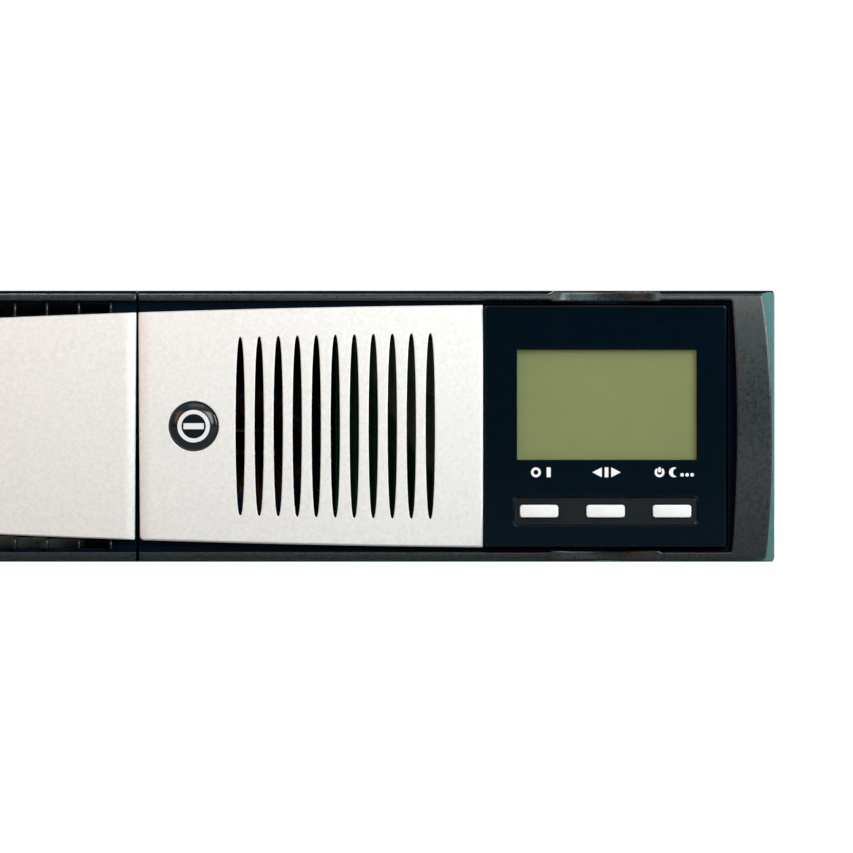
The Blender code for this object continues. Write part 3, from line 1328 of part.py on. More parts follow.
def build():
    for old in list(bpy.data.objects):
        bpy.data.objects.remove(old)
    graphite = finish("graphite_plastic", (0.040, 0.043, 0.043), 0.45, 0.35)
    silver = finish("silver_paint", (0.78, 0.77, 0.75), 0.38, 0.55)
    gloss_black = finish("gloss_black_plastic", (0.004, 0.006, 0.008), 0.12)
    matte_black = finish("matte_black_plastic", (0.012, 0.012, 0.013), 0.55)
    key_white = finish("key_white", (0.86, 0.87, 0.88), 0.35)
    clear = finish("clear_window", (0.75, 0.80, 0.74), 0.05)
    lcd = finish("lcd_green", (0.235, 0.262, 0.105), 0.5)
    case_paint = finish("case_paint", (0.020, 0.026, 0.028), 0.42)
    zinc = finish("zinc", (0.62, 0.62, 0.60), 0.32, 1.0)
    board_green = finish("board_green", (0.02, 0.12, 0.05), 0.5)
    aluminium = finish("aluminium", (0.75, 0.76, 0.77), 0.35, 1.0)
    copper = finish("copper_winding", (0.55, 0.22, 0.08), 0.35, 0.8)
    sleeve_blue = finish("sleeve_blue", (0.02, 0.05, 0.16), 0.35)
    battery_grey = finish("battery_grey", (0.10, 0.10, 0.11), 0.5)
    red_wire = finish("red_wire", (0.45, 0.02, 0.02), 0.4)
    chassis_base(case_paint)
    top_cover(case_paint)
    cover_screws(zinc)
    front_plate(case_paint)
    rear_panel(case_paint)
    bay_walls(zinc)
    right_bezel(graphite)
    vent_panel(silver)
    battery_cover(graphite, silver)
    power_button(gloss_black, zinc)
    power_switch(matte_black)
    display_module(gloss_black, clear, lcd, board_green, key_white)
    display_socket(matte_black)
    battery_pack(zinc, battery_grey, red_wire, matte_black)
    battery_socket(matte_black)
    electronics(board_green, aluminium, copper, sleeve_blue, matte_black)
    fan(matte_black, zinc, zinc)
    for name in ("outlet_bank_lower", "outlet_bank_upper"):
        outlet_bank(name, matte_black)
    inlet_socket(matte_black)
    breaker(matte_black)
    small_fittings(case_paint, zinc, matte_black, board_green)


build()
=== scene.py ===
# %% [markdown]
# # A rack or tower uninterruptible power supply
# The frame of this object is already made: every metal and moulded part has its true size and
# place. This lesson dresses it. Panels get rolled edges, paint gets grain, screws get their
# recesses, and each new piece stays where the frame's part was, so that the object still opens,
# slides and clicks. Lengths are in metres, +X is the right of the front, +Y the rear, +Z up.

# %% Load the fixed frame
import json
import math
import bmesh
import bpy
import numpy as np
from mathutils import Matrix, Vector
from mathutils.geometry import delaunay_2d_cdt

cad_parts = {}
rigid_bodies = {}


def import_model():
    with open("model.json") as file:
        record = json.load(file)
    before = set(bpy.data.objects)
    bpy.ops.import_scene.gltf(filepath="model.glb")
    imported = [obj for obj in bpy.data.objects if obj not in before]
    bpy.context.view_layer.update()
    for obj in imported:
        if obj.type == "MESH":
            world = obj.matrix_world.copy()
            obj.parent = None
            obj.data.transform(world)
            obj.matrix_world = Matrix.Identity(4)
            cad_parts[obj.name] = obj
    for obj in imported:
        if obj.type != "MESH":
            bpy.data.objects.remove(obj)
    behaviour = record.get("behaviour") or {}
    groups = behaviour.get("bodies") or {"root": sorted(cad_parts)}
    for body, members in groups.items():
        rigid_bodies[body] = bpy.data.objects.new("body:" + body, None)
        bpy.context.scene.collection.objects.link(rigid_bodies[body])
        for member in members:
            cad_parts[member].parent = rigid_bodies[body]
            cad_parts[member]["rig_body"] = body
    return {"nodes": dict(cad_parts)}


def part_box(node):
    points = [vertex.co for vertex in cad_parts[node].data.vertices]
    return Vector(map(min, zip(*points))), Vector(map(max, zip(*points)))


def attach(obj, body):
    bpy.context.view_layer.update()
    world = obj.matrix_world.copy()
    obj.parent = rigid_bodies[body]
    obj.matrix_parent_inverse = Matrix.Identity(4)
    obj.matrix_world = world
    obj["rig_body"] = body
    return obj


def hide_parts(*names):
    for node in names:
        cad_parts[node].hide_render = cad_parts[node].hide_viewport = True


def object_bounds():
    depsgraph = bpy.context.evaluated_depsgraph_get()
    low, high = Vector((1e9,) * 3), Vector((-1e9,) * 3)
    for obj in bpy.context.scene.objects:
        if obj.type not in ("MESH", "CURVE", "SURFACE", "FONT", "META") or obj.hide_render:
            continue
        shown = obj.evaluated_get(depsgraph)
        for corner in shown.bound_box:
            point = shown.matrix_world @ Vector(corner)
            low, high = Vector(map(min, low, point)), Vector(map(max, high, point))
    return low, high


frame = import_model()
cad_low, cad_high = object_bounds()
nodes = frame["nodes"]
bodies = {name: node["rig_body"] for name, node in nodes.items()}
print("frame", [round(v, 4) for v in (*cad_low, *cad_high)], len(nodes), "nodes")

# %% [markdown]
# ## Sizes that the pieces share
# The foremost plane is where the round button's face is. Depths are counted back from it, because
# a front panel is drawn and checked that way in a workshop.

# %% Shared sizes
FRONT, TOP = cad_low.y, cad_high.z
MID_Z = TOP / 2
module_low, module_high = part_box("display_faceplate")
vent_low, vent_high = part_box("vent_panel")
button_low, button_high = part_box("power_button")
MODULE_X = (module_low.x + module_high.x) / 2
BUTTON_X = (button_low.x + button_high.x) / 2
SEAM_X = (vent_low.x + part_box("plain_panel")[1].x) / 2
PANEL_HALF = vent_high.z - MID_Z
ARC_RADIUS = 4.4  # of the silver panels' upper and lower edges
CAP_EDGE, CAP_WIDEST_Z, CAP_REACH, CAP_PULL = 0.2190, 0.0395, 0.0435, 0.0026
CAP_INNER_EDGE, CAP_INNER_PULL = 0.2077, 0.0015
print("seam", round(SEAM_X, 4), "button", round(BUTTON_X, 4), "display", round(MODULE_X, 4))


def middle_of(name):
    low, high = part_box(name)
    return (low + high) / 2


def crown(face, fall):
    """The depth of a barrel-shaped front: it falls back towards the top and bottom edges."""
    return lambda x, z: face + fall * ((z - MID_Z) / PANEL_HALF) ** 2


def level(value):
    return lambda x, z: value


def panel_half(x):
    """Half the height of the silver panels: an arc, widest at the display."""
    return PANEL_HALF - (x - MODULE_X) ** 2 / (2 * ARC_RADIUS)


def cap_outer(z):
    """The end cap's outer edge: widest a little below the middle, and drawn in at both ends."""
    return CAP_EDGE - CAP_PULL * abs((z - CAP_WIDEST_Z) / CAP_REACH) ** 2.4


def cap_inner(z):
    return CAP_INNER_EDGE - CAP_INNER_PULL * ((z - MID_Z) / PANEL_HALF) ** 2


# %% [markdown]
# ## Small tools
# Materials, the surround and the repeating shapes are all trees of nodes. One short function adds
# a node with its inputs, and another adds a sum, so that a tree reads from top to bottom.

# %% Trees and objects
def shader_graph(owner):
    owner.use_nodes = True
    tree = owner.node_tree
    tree.nodes.clear()
    return tree


def step(tree, kind, **values):
    """A node of a tree. A word in lower case is a setting. Any other is an input, and takes a
    number, a vector or another node's output."""
    node = tree.nodes.new(kind)
    for label, value in values.items():
        if label.islower():
            setattr(node, label, value)
            continue
        socket = node.inputs[label.replace("_", " ")]
        if isinstance(value, bpy.types.NodeSocket):
            tree.links.new(value, socket)
        else:
            socket.default_value = value
    return node


def maths(tree, operation, *values, clamp=False):
    node = step(tree, "ShaderNodeMath", operation=operation, use_clamp=clamp)
    for socket, value in zip(node.inputs, values):
        if isinstance(value, (int, float)):
            socket.default_value = value
        else:
            tree.links.new(value, socket)
    return node.outputs[0]


def as_mesh(name, bm):
    mesh = bpy.data.meshes.new(name)
    bm.to_mesh(mesh)
    bm.free()
    return mesh


def add_object(name, data):
    obj = bpy.data.objects.new(name, data)
    bpy.context.scene.collection.objects.link(obj)
    return obj


# %% [markdown]
# ## Stage, light and camera
# A pale floor and a pale surround keep the eye on the object. A warm lamp stands near on the left,
# a cool one near on the right, and a long strip high in front gives the brow light. One more lamp,
# at the far right, draws the edges: a dark case shows its form mostly by the tint of what it
# reflects. The surround is bright for the eye and dimmer for reflections, or the gloss black window
# would turn grey.

# %% Stage
world = bpy.data.worlds.new("studio")
bpy.context.scene.world = world
tree = shader_graph(world)
axes = step(tree, "ShaderNodeSeparateXYZ",
            Vector=step(tree, "ShaderNodeTexCoord").outputs["Generated"])
lift = maths(tree, "MULTIPLY_ADD", axes.outputs["Y"], 0.5, axes.outputs["Z"])
spread = step(tree, "ShaderNodeMapRange", Value=lift, From_Min=-0.8, From_Max=1.0)
ramp = step(tree, "ShaderNodeValToRGB", Fac=spread.outputs[0])
for place, tone in ((0.10, (0.003, 0.006, 0.008, 1)), (0.21, (0.018, 0.020, 0.022, 1)),
                    (0.37, (0.250, 0.245, 0.235, 1)), (0.70, (0.52, 0.53, 0.54, 1))):
    ramp.color_ramp.elements.new(place).color = tone
ramp.color_ramp.elements.remove(ramp.color_ramp.elements[0])
ramp.color_ramp.elements.remove(ramp.color_ramp.elements[-1])
reflected = step(tree, "ShaderNodeBackground", Color=ramp.outputs[0], Strength=1.0)
seen = step(tree, "ShaderNodeBackground", Color=(1, 1, 1, 1), Strength=1.05)
mix = step(tree, "ShaderNodeMixShader",
           Fac=step(tree, "ShaderNodeLightPath").outputs["Is Camera Ray"])
tree.links.new(reflected.outputs[0], mix.inputs[1])
tree.links.new(seen.outputs[0], mix.inputs[2])
step(tree, "ShaderNodeOutputWorld", Surface=mix.outputs[0])

floor_bm = bmesh.new()
bmesh.ops.create_grid(floor_bm, x_segments=8, y_segments=8, size=12)
floor = add_object("floor", as_mesh("floor", floor_bm))
floor_paint = bpy.data.materials.new("pale_floor")
tree = shader_graph(floor_paint)
glow = maths(tree, "MULTIPLY", step(tree, "ShaderNodeLightPath").outputs["Is Camera Ray"], 0.93)
shader = step(tree, "ShaderNodeBsdfPrincipled", Base_Color=(0.42, 0.44, 0.45, 1), Roughness=0.9,
              Specular_IOR_Level=0.0, Emission_Color=(1, 1, 1, 1), Emission_Strength=glow)
step(tree, "ShaderNodeOutputMaterial", Surface=shader.outputs[0])
floor.data.materials.append(floor_paint)


def lamp(name, place, target, size, power, colour):
    data = bpy.data.lights.new(name, "AREA")
    data.shape = "RECTANGLE"
    data.size, data.size_y = size
    data.energy, data.color = power, colour
    obj = add_object(name, data)
    obj.location = place
    obj.rotation_euler = (Vector(target) - Vector(place)).to_track_quat("-Z", "Y").to_euler()


middle = (0.10, FRONT, MID_Z)
lamp("left_softbox", (-0.60, -1.00, 0.45), middle, (0.55, 0.55), 2.9, (1.0, 0.42, 0.22))
lamp("top_softbox", (0.25, -1.05, 1.55), middle, (1.2, 0.5), 2.6, (1.0, 0.97, 0.93))
lamp("brow_strip", (0.45, -2.20, 0.86), middle, (0.8, 0.14), 3.0, (1.0, 0.95, 0.80))
lamp("right_softbox", (0.45, -0.72, 0.30), middle, (0.36, 0.36), 3.15, (0.80, 0.98, 1.0))
lamp("edge_softbox", (1.25, -0.30, 0.42), (0.2, FRONT, 0.05), (0.35, 0.5), 9.0, (1.0, 0.88, 0.86))
lamp("back_softbox", (-0.6, 1.9, 1.4), (0, 0.2, 0), (1.2, 0.9), 26, (1.0, 0.98, 0.96))

CAMERA_DISTANCE, CAMERA_X, CAMERA_Z = 4.8, 0.1088, 0.0434
VIEW_WIDTH = 0.2718  # of the front plane
camera = add_object("camera", bpy.data.cameras.new("camera"))
bpy.context.scene.camera = camera
camera.data.lens = camera.data.sensor_width * CAMERA_DISTANCE / VIEW_WIDTH
camera.data.clip_start, camera.data.clip_end = 0.05, 50
camera.location = (CAMERA_X, FRONT - CAMERA_DISTANCE, CAMERA_Z)
camera.rotation_euler = (math.pi / 2, 0, 0)
bpy.context.scene.view_settings.view_transform = "Standard"
print("camera lens", round(camera.data.lens, 1), "mm")

# %% [markdown]
# ## Finishes, and the effects that they share
# Real paint is never one flat colour. Three small effects make the difference, and each is a node
# group that any finish can use: *speckle* is the fine grain of the moulding or paint, *drift* is a
# slow change of tone across a surface, and *rub* is the bright wear that handling leaves on
# edges, and a painted highlight on the display faceplate's rims. It reads a value that the edge
# rounding below writes on the faces that it makes, and that the faceplate writes on its rims.

# %% Effect groups
def effect(name, inputs, outputs):
    """A group that takes a place and some numbers, and gives numbers."""
    tree = bpy.data.node_groups.new(name, "ShaderNodeTree")
    tree.interface.new_socket("Vector", in_out="INPUT", socket_type="NodeSocketVector")
    for label, value in inputs.items():
        socket = tree.interface.new_socket(label, in_out="INPUT", socket_type="NodeSocketFloat")
        socket.default_value = value
    for label in outputs:
        tree.interface.new_socket(label, in_out="OUTPUT", socket_type="NodeSocketFloat")
    return tree, tree.nodes.new("NodeGroupInput").outputs, tree.nodes.new("NodeGroupOutput").inputs


def noise(tree, vector, scale, detail, rough):
    return step(tree, "ShaderNodeTexNoise", Vector=vector, Scale=scale, Detail=detail,
                Roughness=rough).outputs[0]


speckle, given, result = effect("speckle", {"Scale": 1500.0, "Contrast": 1.0}, ["Value", "Height"])
fine = noise(speckle, given["Vector"], given["Scale"], 2.0, 0.6)
coarse_scale = maths(speckle, "MULTIPLY", given["Scale"], 0.31)
coarse = noise(speckle, given["Vector"], coarse_scale, 1.0, 0.5)
both = maths(speckle, "MULTIPLY_ADD", maths(speckle, "SUBTRACT", coarse, 0.5), 0.6, fine)
centred = maths(speckle, "SUBTRACT", both, 0.5)
value = maths(speckle, "MULTIPLY_ADD", centred, given["Contrast"], 0.5, clamp=True)
speckle.links.new(value, result["Value"])
speckle.links.new(fine, result["Height"])

drift, given, result = effect("drift", {"Scale": 14.0, "Contrast": 1.0}, ["Value"])
slow = noise(drift, given["Vector"], given["Scale"], 3.0, 0.45)
centred = maths(drift, "SUBTRACT", slow, 0.5)
value = maths(drift, "MULTIPLY_ADD", centred, given["Contrast"], 0.5, clamp=True)
drift.links.new(value, result["Value"])

rub, given, result = effect("rub", {"Scale": 260.0, "Amount": 0.5}, ["Mask"])
edge = step(rub, "ShaderNodeAttribute", attribute_name="edge")
patch = noise(rub, given["Vector"], given["Scale"], 4.0, 0.65)
patch = maths(rub, "MULTIPLY_ADD", maths(rub, "SUBTRACT", patch, 0.45), 5.0, 0.2, clamp=True)
value = maths(rub, "MULTIPLY", edge.outputs["Fac"], patch)
value = maths(rub, "MULTIPLY", value, given["Amount"], clamp=True)
rub.links.new(value, result["Mask"])
print("effects", [g.name for g in bpy.data.node_groups])

# %% [markdown]
# A finish is a recipe: two tones that the speckle mixes, how far the tone drifts, how rough it is,
# and what colour shows on marked edge faces: wear on most finishes, a painted highlight on the
# faceplate's. Writing the recipe as one function keeps all the paints of one object in the same
# family, which is how a factory works too.

# %% Finish recipe
def colour_mix(tree, share, first, second):
    node = step(tree, "ShaderNodeMix", data_type="RGBA")
    for socket, value in zip((node.inputs[0], node.inputs[6], node.inputs[7]),
                             (share, first, second)):
        if isinstance(value, tuple):
            socket.default_value = (*value, 1.0)
        else:
            tree.links.new(value, socket)
    return node.outputs[2]


finishes = {}


def paint(name, dark, light, rough, metal=0.0, grain=1500.0, contrast=1.0, drift_by=0.3,
          drift_scale=14.0, rub_and_glint_colour=None, rub_and_glint_by=0.4, bump=0.02, rough_by=0.08, coat=0.0,
          stretch=None, specular=0.5):
    """Makes a finish. Returns its tree and its shader, for what one finish has beyond the rest."""
    finishes[name] = bpy.data.materials.new(name)
    tree = shader_graph(finishes[name])
    place = grain_place = step(tree, "ShaderNodeTexCoord").outputs["Object"]
    if stretch:
        grain_place = step(tree, "ShaderNodeMapping", Vector=place, Scale=stretch).outputs[0]
    grains = step(tree, "ShaderNodeGroup", node_tree=speckle, Vector=grain_place, Scale=grain,
                  Contrast=contrast)
    slow = step(tree, "ShaderNodeGroup", node_tree=drift, Vector=place, Scale=drift_scale,
                Contrast=drift_by)
    off_middle = maths(tree, "SUBTRACT", slow.outputs[0], 0.5)
    share = maths(tree, "ADD", grains.outputs["Value"], off_middle, clamp=True)
    colour = colour_mix(tree, share, dark, light)
    roughness = maths(tree, "MULTIPLY_ADD", maths(tree, "SUBTRACT", share, 0.5), rough_by, rough,
                      clamp=True)
    if rub_and_glint_colour:
        wear_and_glint = step(tree, "ShaderNodeGroup", node_tree=rub, Vector=place, Amount=rub_and_glint_by)
        colour = colour_mix(tree, wear_and_glint.outputs["Mask"], colour, rub_and_glint_colour)
        roughness = maths(tree, "MULTIPLY_ADD", wear_and_glint.outputs["Mask"], -0.12, roughness, clamp=True)
    shader = step(tree, "ShaderNodeBsdfPrincipled", Base_Color=colour, Roughness=roughness,
                  Metallic=metal, Coat_Weight=coat, Coat_Roughness=0.16,
                  Specular_IOR_Level=specular)
    if bump:
        bumped = step(tree, "ShaderNodeBump", Strength=bump, Distance=0.0002,
                      Height=grains.outputs["Height"])
        tree.links.new(bumped.outputs[0], shader.inputs["Normal"])
    step(tree, "ShaderNodeOutputMaterial", Surface=shader.outputs[0])
    return tree, shader


# %% [markdown]
# ## The finishes
# The silver is a fine-grained metallic lacquer over plastic. The graphite of the frame is the same
# kind of lacquer, darker and coarser, with flakes that glint. The case is black powder coat, which
# has a skin like an orange. Zinc, aluminium and tin are bare metal, so they are told apart by how
# they are worked: rolled, extruded or plated.

# %% Paints and metals
paint("silver_paint", (0.765, 0.760, 0.755), (0.885, 0.880, 0.875), 0.42, 0.10, 2400, 2.1, 0.07, 9,
      (0.93, 0.94, 0.95), 0.25, 0.10, 0.10)
paint("graphite", (0.002, 0.0055, 0.0075), (0.022, 0.0265, 0.027), 0.34, 0.45, 2900, 2.4, 0.10, 30,
      (0.40, 0.37, 0.37), 0.25, 0.22, 0.20, coat=0.6)
# groove_black is painted shade: the flange's face where it lies in the grooves' shadow, made near
# black and almost unreflecting.
paint("groove_black", (0.0003, 0.0040, 0.0100), (0.0009, 0.0080, 0.0200), 0.50, 0.0, 1500, 1.0,
      0.3, 30, (0.20, 0.20, 0.20), 0.2, 0.05, 0.10, specular=0.04)
# flange_teal is a painted reflection: the petrol tint stands in for teal light that the flange
# reflects from below and from the right.
paint("flange_teal", (0.058, 0.142, 0.145), (0.094, 0.215, 0.215), 0.38, 0.25, 1300, 0.9, 0.5, 22,
      (0.32, 0.46, 0.47), 0.35, 0.10, 0.10)
# On gloss_black and recess_grey the edge colour is a painted highlight on the faceplate's rims, not
# wear.
paint("gloss_black", (0.0000, 0.0028, 0.0062), (0.0003, 0.0052, 0.0100), 0.14, 0.0, 700, 0.8, 0.5,
      18, (0.030, 0.045, 0.050), 0.4, 0.015, 0.06, specular=0.12)
paint("matte_black", (0.007, 0.008, 0.009), (0.020, 0.021, 0.022), 0.55, 0.0, 1700, 1.2, 0.3, 25,
      (0.05, 0.05, 0.05), 0.4, 0.25, 0.12)
paint("button_black", (0.0006, 0.0035, 0.0070), (0.0020, 0.0070, 0.0120), 0.16, 0.0, 900, 0.8, 0.4,
      60, (0.03, 0.04, 0.04), 0.3, 0.02, 0.06, coat=0.35, specular=0.30)
paint("recess_grey", (0.0006, 0.0024, 0.0044), (0.0032, 0.0068, 0.0098), 0.38, 0.0, 900, 1.0, 1.4,
      60, (0.16, 0.165, 0.15), 0.9, 0.06, 0.1, specular=0.25)
paint("key_white", (0.76, 0.76, 0.78), (0.88, 0.88, 0.90), 0.34, 0.0, 1900, 0.8, 0.3, 90,
      (0.96, 0.96, 0.96), 0.3, 0.06, 0.08)
paint("print_white", (0.72, 0.72, 0.74), (0.86, 0.86, 0.88), 0.55, 0.0, 2600, 1.0, 0.3, 200)
paint("case_paint", (0.010, 0.013, 0.014), (0.034, 0.040, 0.042), 0.45, 0.0, 1100, 1.2, 0.35, 9,
      (0.12, 0.13, 0.13), 0.5, 0.35, 0.14)
paint("zinc_plate", (0.42, 0.41, 0.38), (0.66, 0.66, 0.64), 0.34, 1.0, 420, 1.3, 0.8, 26,
      (0.80, 0.79, 0.76), 0.5, 0.05, 0.18)
paint("bright_steel", (0.52, 0.52, 0.53), (0.74, 0.74, 0.75), 0.24, 1.0, 900, 1.0, 0.4, 40,
      (0.85, 0.85, 0.86), 0.5, 0.05, 0.12)
paint("aluminium", (0.56, 0.57, 0.58), (0.78, 0.79, 0.80), 0.36, 1.0, 1300, 1.2, 0.3, 20,
      (0.88, 0.88, 0.88), 0.5, 0.12, 0.16, stretch=(1.0, 0.03, 1.0))
paint("sleeve_blue", (0.010, 0.024, 0.085), (0.026, 0.060, 0.175), 0.30, 0.0, 600, 0.8, 0.4, 30,
      (0.10, 0.16, 0.30), 0.4, 0.03)
paint("battery_grey", (0.060, 0.061, 0.066), (0.115, 0.116, 0.122), 0.55, 0.0, 1500, 1.2, 0.4, 14,
      (0.22, 0.22, 0.23), 0.5, 0.3)
paint("wire_red", (0.34, 0.012, 0.012), (0.54, 0.030, 0.026), 0.38, 0.0, 500, 0.8, 0.5, 60,
      (0.65, 0.10, 0.08), 0.4, 0.04)
paint("terminal_green", (0.010, 0.135, 0.060), (0.022, 0.225, 0.105), 0.42, 0.0, 1200, 0.9, 0.3,
      60, (0.10, 0.35, 0.20), 0.4, 0.1)
print(len(finishes), "finishes so far")

# %% [markdown]
# The liquid-crystal panel is a grey-green film with a faint grain, and the window over it
# is thin clear plastic: mostly see-through, with a weak reflection. Circuit boards are green resist
# over copper tracks, and a winding is lacquered copper.

# %% Display, window, board and copper
_, shader = paint("lcd_green", (0.163, 0.178, 0.056), (0.192, 0.210, 0.072), 0.55, 0.0, 700, 0.9,
                  0.8,
                  26, bump=0.0, specular=0.15)
# A faint glow in the film's own green is painted light that brightens the panel behind its window;
# no backlight is modelled.
shader.inputs["Emission Color"].default_value = (0.235, 0.255, 0.09, 1)
shader.inputs["Emission Strength"].default_value = 0.20
_, shader = paint("clear_window", (0.20, 0.24, 0.20), (0.26, 0.30, 0.25), 0.08, 0.0, 500, 0.6,
                  0.3, 30,
                  bump=0.0, rough_by=0.04)
shader.inputs["Alpha"].default_value = 0.07
tree, shader = paint("board_green", (0.003, 0.030, 0.014), (0.008, 0.062, 0.027), 0.38, 0.0, 900,
                     0.9,
                     0.4, 40, (0.10, 0.25, 0.12), 0.4, 0.05, coat=0.3)
resist = shader.inputs["Base Color"].links[0].from_socket
track = step(tree, "ShaderNodeTexBrick", Vector=step(tree, "ShaderNodeTexCoord").outputs["Object"],
             Scale=160.0, Mortar_Size=0.035, Color1=(0, 0, 0, 1), Color2=(0, 0, 0, 1),
             Mortar=(1, 1, 1, 1))
board = colour_mix(tree, track.outputs["Fac"], resist, (0.016, 0.115, 0.048))
tree.links.new(board, shader.inputs["Base Color"])
paint("copper_winding", (0.20, 0.070, 0.022), (0.40, 0.155, 0.055), 0.34, 0.75, 800, 1.0, 0.4, 60,
      (0.80, 0.42, 0.20), 0.4, 0.05, 0.12)
print(len(finishes), "finishes")

# %% [markdown]
# ## Tools for shaping
# Moulded fronts are built as *rows of corners*. A row runs once round an outline. Rows a little
# apart, joined by faces, make a wall or a rolled lip, and the flat or crowned part inside the last
# row is filled by a triangulation that also takes some points of a grid, so that it can curve.

# %% Rows, lips and fills
def add_row(bm, points, surface):
    return [bm.verts.new((x, FRONT + surface(x, z), z)) for x, z in points]


def bridge(bm, first, second):
    return [bm.faces.new((first[i - 1], first[i], second[i], second[i - 1]))
            for i in range(len(first))]


def bridge_all(bm, rows, ends=None):
    """Joins each row to the next. ends is "caps" to close both, or "ring" to join the last to the
    first."""
    for first, second in zip(rows, rows[1:]):
        bridge(bm, first, second)
    if ends == "caps":
        bm.faces.new(rows[0])
        bm.faces.new(rows[-1])
    elif ends == "ring":
        bridge(bm, rows[-1], rows[0])


def offset(points, distance):
    """Moves a counter-clockwise outline inwards, or outwards for a negative distance."""
    moved = []
    count = len(points)
    for i in range(count):
        before, here, after = (Vector(points[j % count]) for j in (i - 1, i, i + 1))
        first, second = (here - before).normalized(), (after - here).normalized()
        normals = Vector((-first.y, first.x)), Vector((-second.y, second.x))
        spread = max(0.35, 1 + normals[0].dot(normals[1]))
        moved.append(tuple(here + (normals[0] + normals[1]) * (distance / spread)))
    return moved


ROUND = [(1 - math.cos(a), 1 - math.sin(a)) for a in np.linspace(0, math.pi / 2, 5)]
ROLLED = [(0, 1.30), (0.03, 1.08)] + [(u, (1 - u) ** 2)
                                      for u in (0.08, 0.2, 0.34, 0.5, 0.66, 0.82, 1)]


def add_lip(bm, ring_at, surface, drop, profile=ROUND):
    """Rows that take an edge from its wall to its face. ring_at(0) is the wall's outline and
    ring_at(1) the face's. One more row just past it holds the shading of the face flat."""
    rows = [add_row(bm, ring_at(share), lambda x, z, f=fall * drop: surface(x, z) + f)
            for share, fall in profile]
    rows.append(add_row(bm, ring_at(1.25), surface))
    bridge_all(bm, rows)
    return rows[0], rows[-1]


def open_holes(bm, outlines, lip, front, back):
    """Holes with small round lips. Returns their rows at the front and at the back, which the two
    fills leave open."""
    front_rows, back_rows = [], []
    for outline in outlines:
        wall, rim = add_lip(bm, lambda s, o=outline: offset(o, -lip * s), front, lip)
        rear = add_row(bm, outline, back)
        bridge(bm, wall, rear)
        front_rows.append(rim)
        back_rows.append(rear)
    return front_rows, back_rows


def inside(points, outline):
    """Which of the points lie in an outline, by counting the edges to their right."""
    points, outline = np.asarray(points, float), np.asarray(outline, float)
    found = np.zeros(len(points), bool)
    for (x0, z0), (x1, z1) in zip(outline, np.roll(outline, -1, axis=0)):
        if z0 == z1:
            continue
        crosses = (points[:, 1] < z0) != (points[:, 1] < z1)
        found ^= crosses & (points[:, 0] < (x1 - x0) * (points[:, 1] - z0) / (z1 - z0) + x0)
    return found


def fill(bm, outer, holes, surface, spacing, creases=()):
    """Fills between rows. creases are extra outlines that faces mustn't cross."""
    loops = [[(v.co.x, v.co.z) for v in row] for row in (outer, *holes)]
    corners = [v for row in (outer, *holes) for v in row]
    flat = [p for loop in (*loops, *creases) for p in loop]
    edges, start = [], 0
    for loop in (*loops, *creases):
        edges += [(start + i, start + (i + 1) % len(loop)) for i in range(len(loop))]
        start += len(loop)
    if spacing:
        low, high = np.min(loops[0], axis=0), np.max(loops[0], axis=0)
        grid = np.array([(x, z) for x in np.arange(low[0] + spacing / 2, high[0], spacing)
                         for z in np.arange(low[1] + spacing / 2, high[1], spacing)])
        known = np.array(flat)
        far = np.sqrt(((grid[:, None] - known[None]) ** 2).sum(2)).min(1) > spacing * 0.45
        keep = far & inside(grid, loops[0])
        for loop in loops[1:]:
            keep &= ~inside(grid, loop)
        flat = flat + [tuple(p) for p in grid[keep]]
    made = delaunay_2d_cdt([Vector(p) for p in flat], edges, [], 0, 1e-8)
    spots, faces, origin = made[0], made[2], made[3]
    verts = []
    for spot, known in zip(spots, origin):
        if known and known[0] < len(corners):
            verts.append(corners[known[0]])
        else:
            verts.append(bm.verts.new((spot.x, FRONT + surface(spot.x, spot.y), spot.y)))
    centres = np.array([np.mean([spots[i] for i in face], axis=0) for face in faces])
    keep = inside(centres, loops[0])
    for loop in loops[1:]:
        keep &= ~inside(centres, loop)
    return [bm.faces.new([verts[i] for i in face]) for face, good in zip(faces, keep) if good]


def round_corners(points, steps=5):
    """An outline from (x, z, radius) corners."""
    path = []
    for i, (x, z, radius) in enumerate(points):
        if not radius:
            path.append((x, z))
            continue
        here = Vector((x, z))
        before, after = Vector(points[i - 1][:2]), Vector(points[(i + 1) % len(points)][:2])
        start = here + (before - here).normalized() * radius
        end = here + (after - here).normalized() * radius
        for k in range(steps + 1):
            t = k / steps
            path.append(tuple(start.lerp(here, t).lerp(here.lerp(end, t), t)))
    return path


def divide(points, longest):
    """Adds corners along an outline's long edges, so that it can follow a curved surface."""
    path = []
    for (x0, z0), (x1, z1) in zip(points, points[1:] + points[:1]):
        parts = max(1, math.ceil(math.dist((x0, z0), (x1, z1)) / longest))
        path += [(x0 + (x1 - x0) * k / parts, z0 + (z1 - z0) * k / parts) for k in range(parts)]
    return path


def turns_of(count, shift=0.0):
    """Evenly spaced angles round a circle."""
    return [2 * math.pi * (k + shift) / count for k in range(count)]


def circle_at(x, z, radius, count=48):
    return [(x + radius * math.cos(a), z + radius * math.sin(a)) for a in turns_of(count, 0.5)]


def box_outline(x0, x1, z0, z1, radius, steps=5):
    corners = [(x0, z0, radius), (x1, z0, radius), (x1, z1, radius), (x0, z1, radius)]
    return round_corners(corners, steps)


# %% [markdown]
# Every finished piece goes through one door. It welds doubled corners, turns all faces outwards,
# shades soft where the shape is round and sharp where it is not, gives the piece its finish, and
# ties it to the body that it moves with.

# %% The last step of each piece
def weld(bm, distance=1e-7):
    bmesh.ops.remove_doubles(bm, verts=bm.verts, dist=distance)
    bmesh.ops.recalc_face_normals(bm, faces=bm.faces)


def shade(mesh, sharp=35):
    mesh.shade_smooth()
    mesh.set_sharp_from_angle(angle=math.radians(sharp))


def tie(name, mesh, body, replaces):
    piece = add_object(name, mesh)
    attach(piece, body)
    if replaces:
        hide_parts(*replaces)
    print(name, len(mesh.polygons), "faces")
    return piece


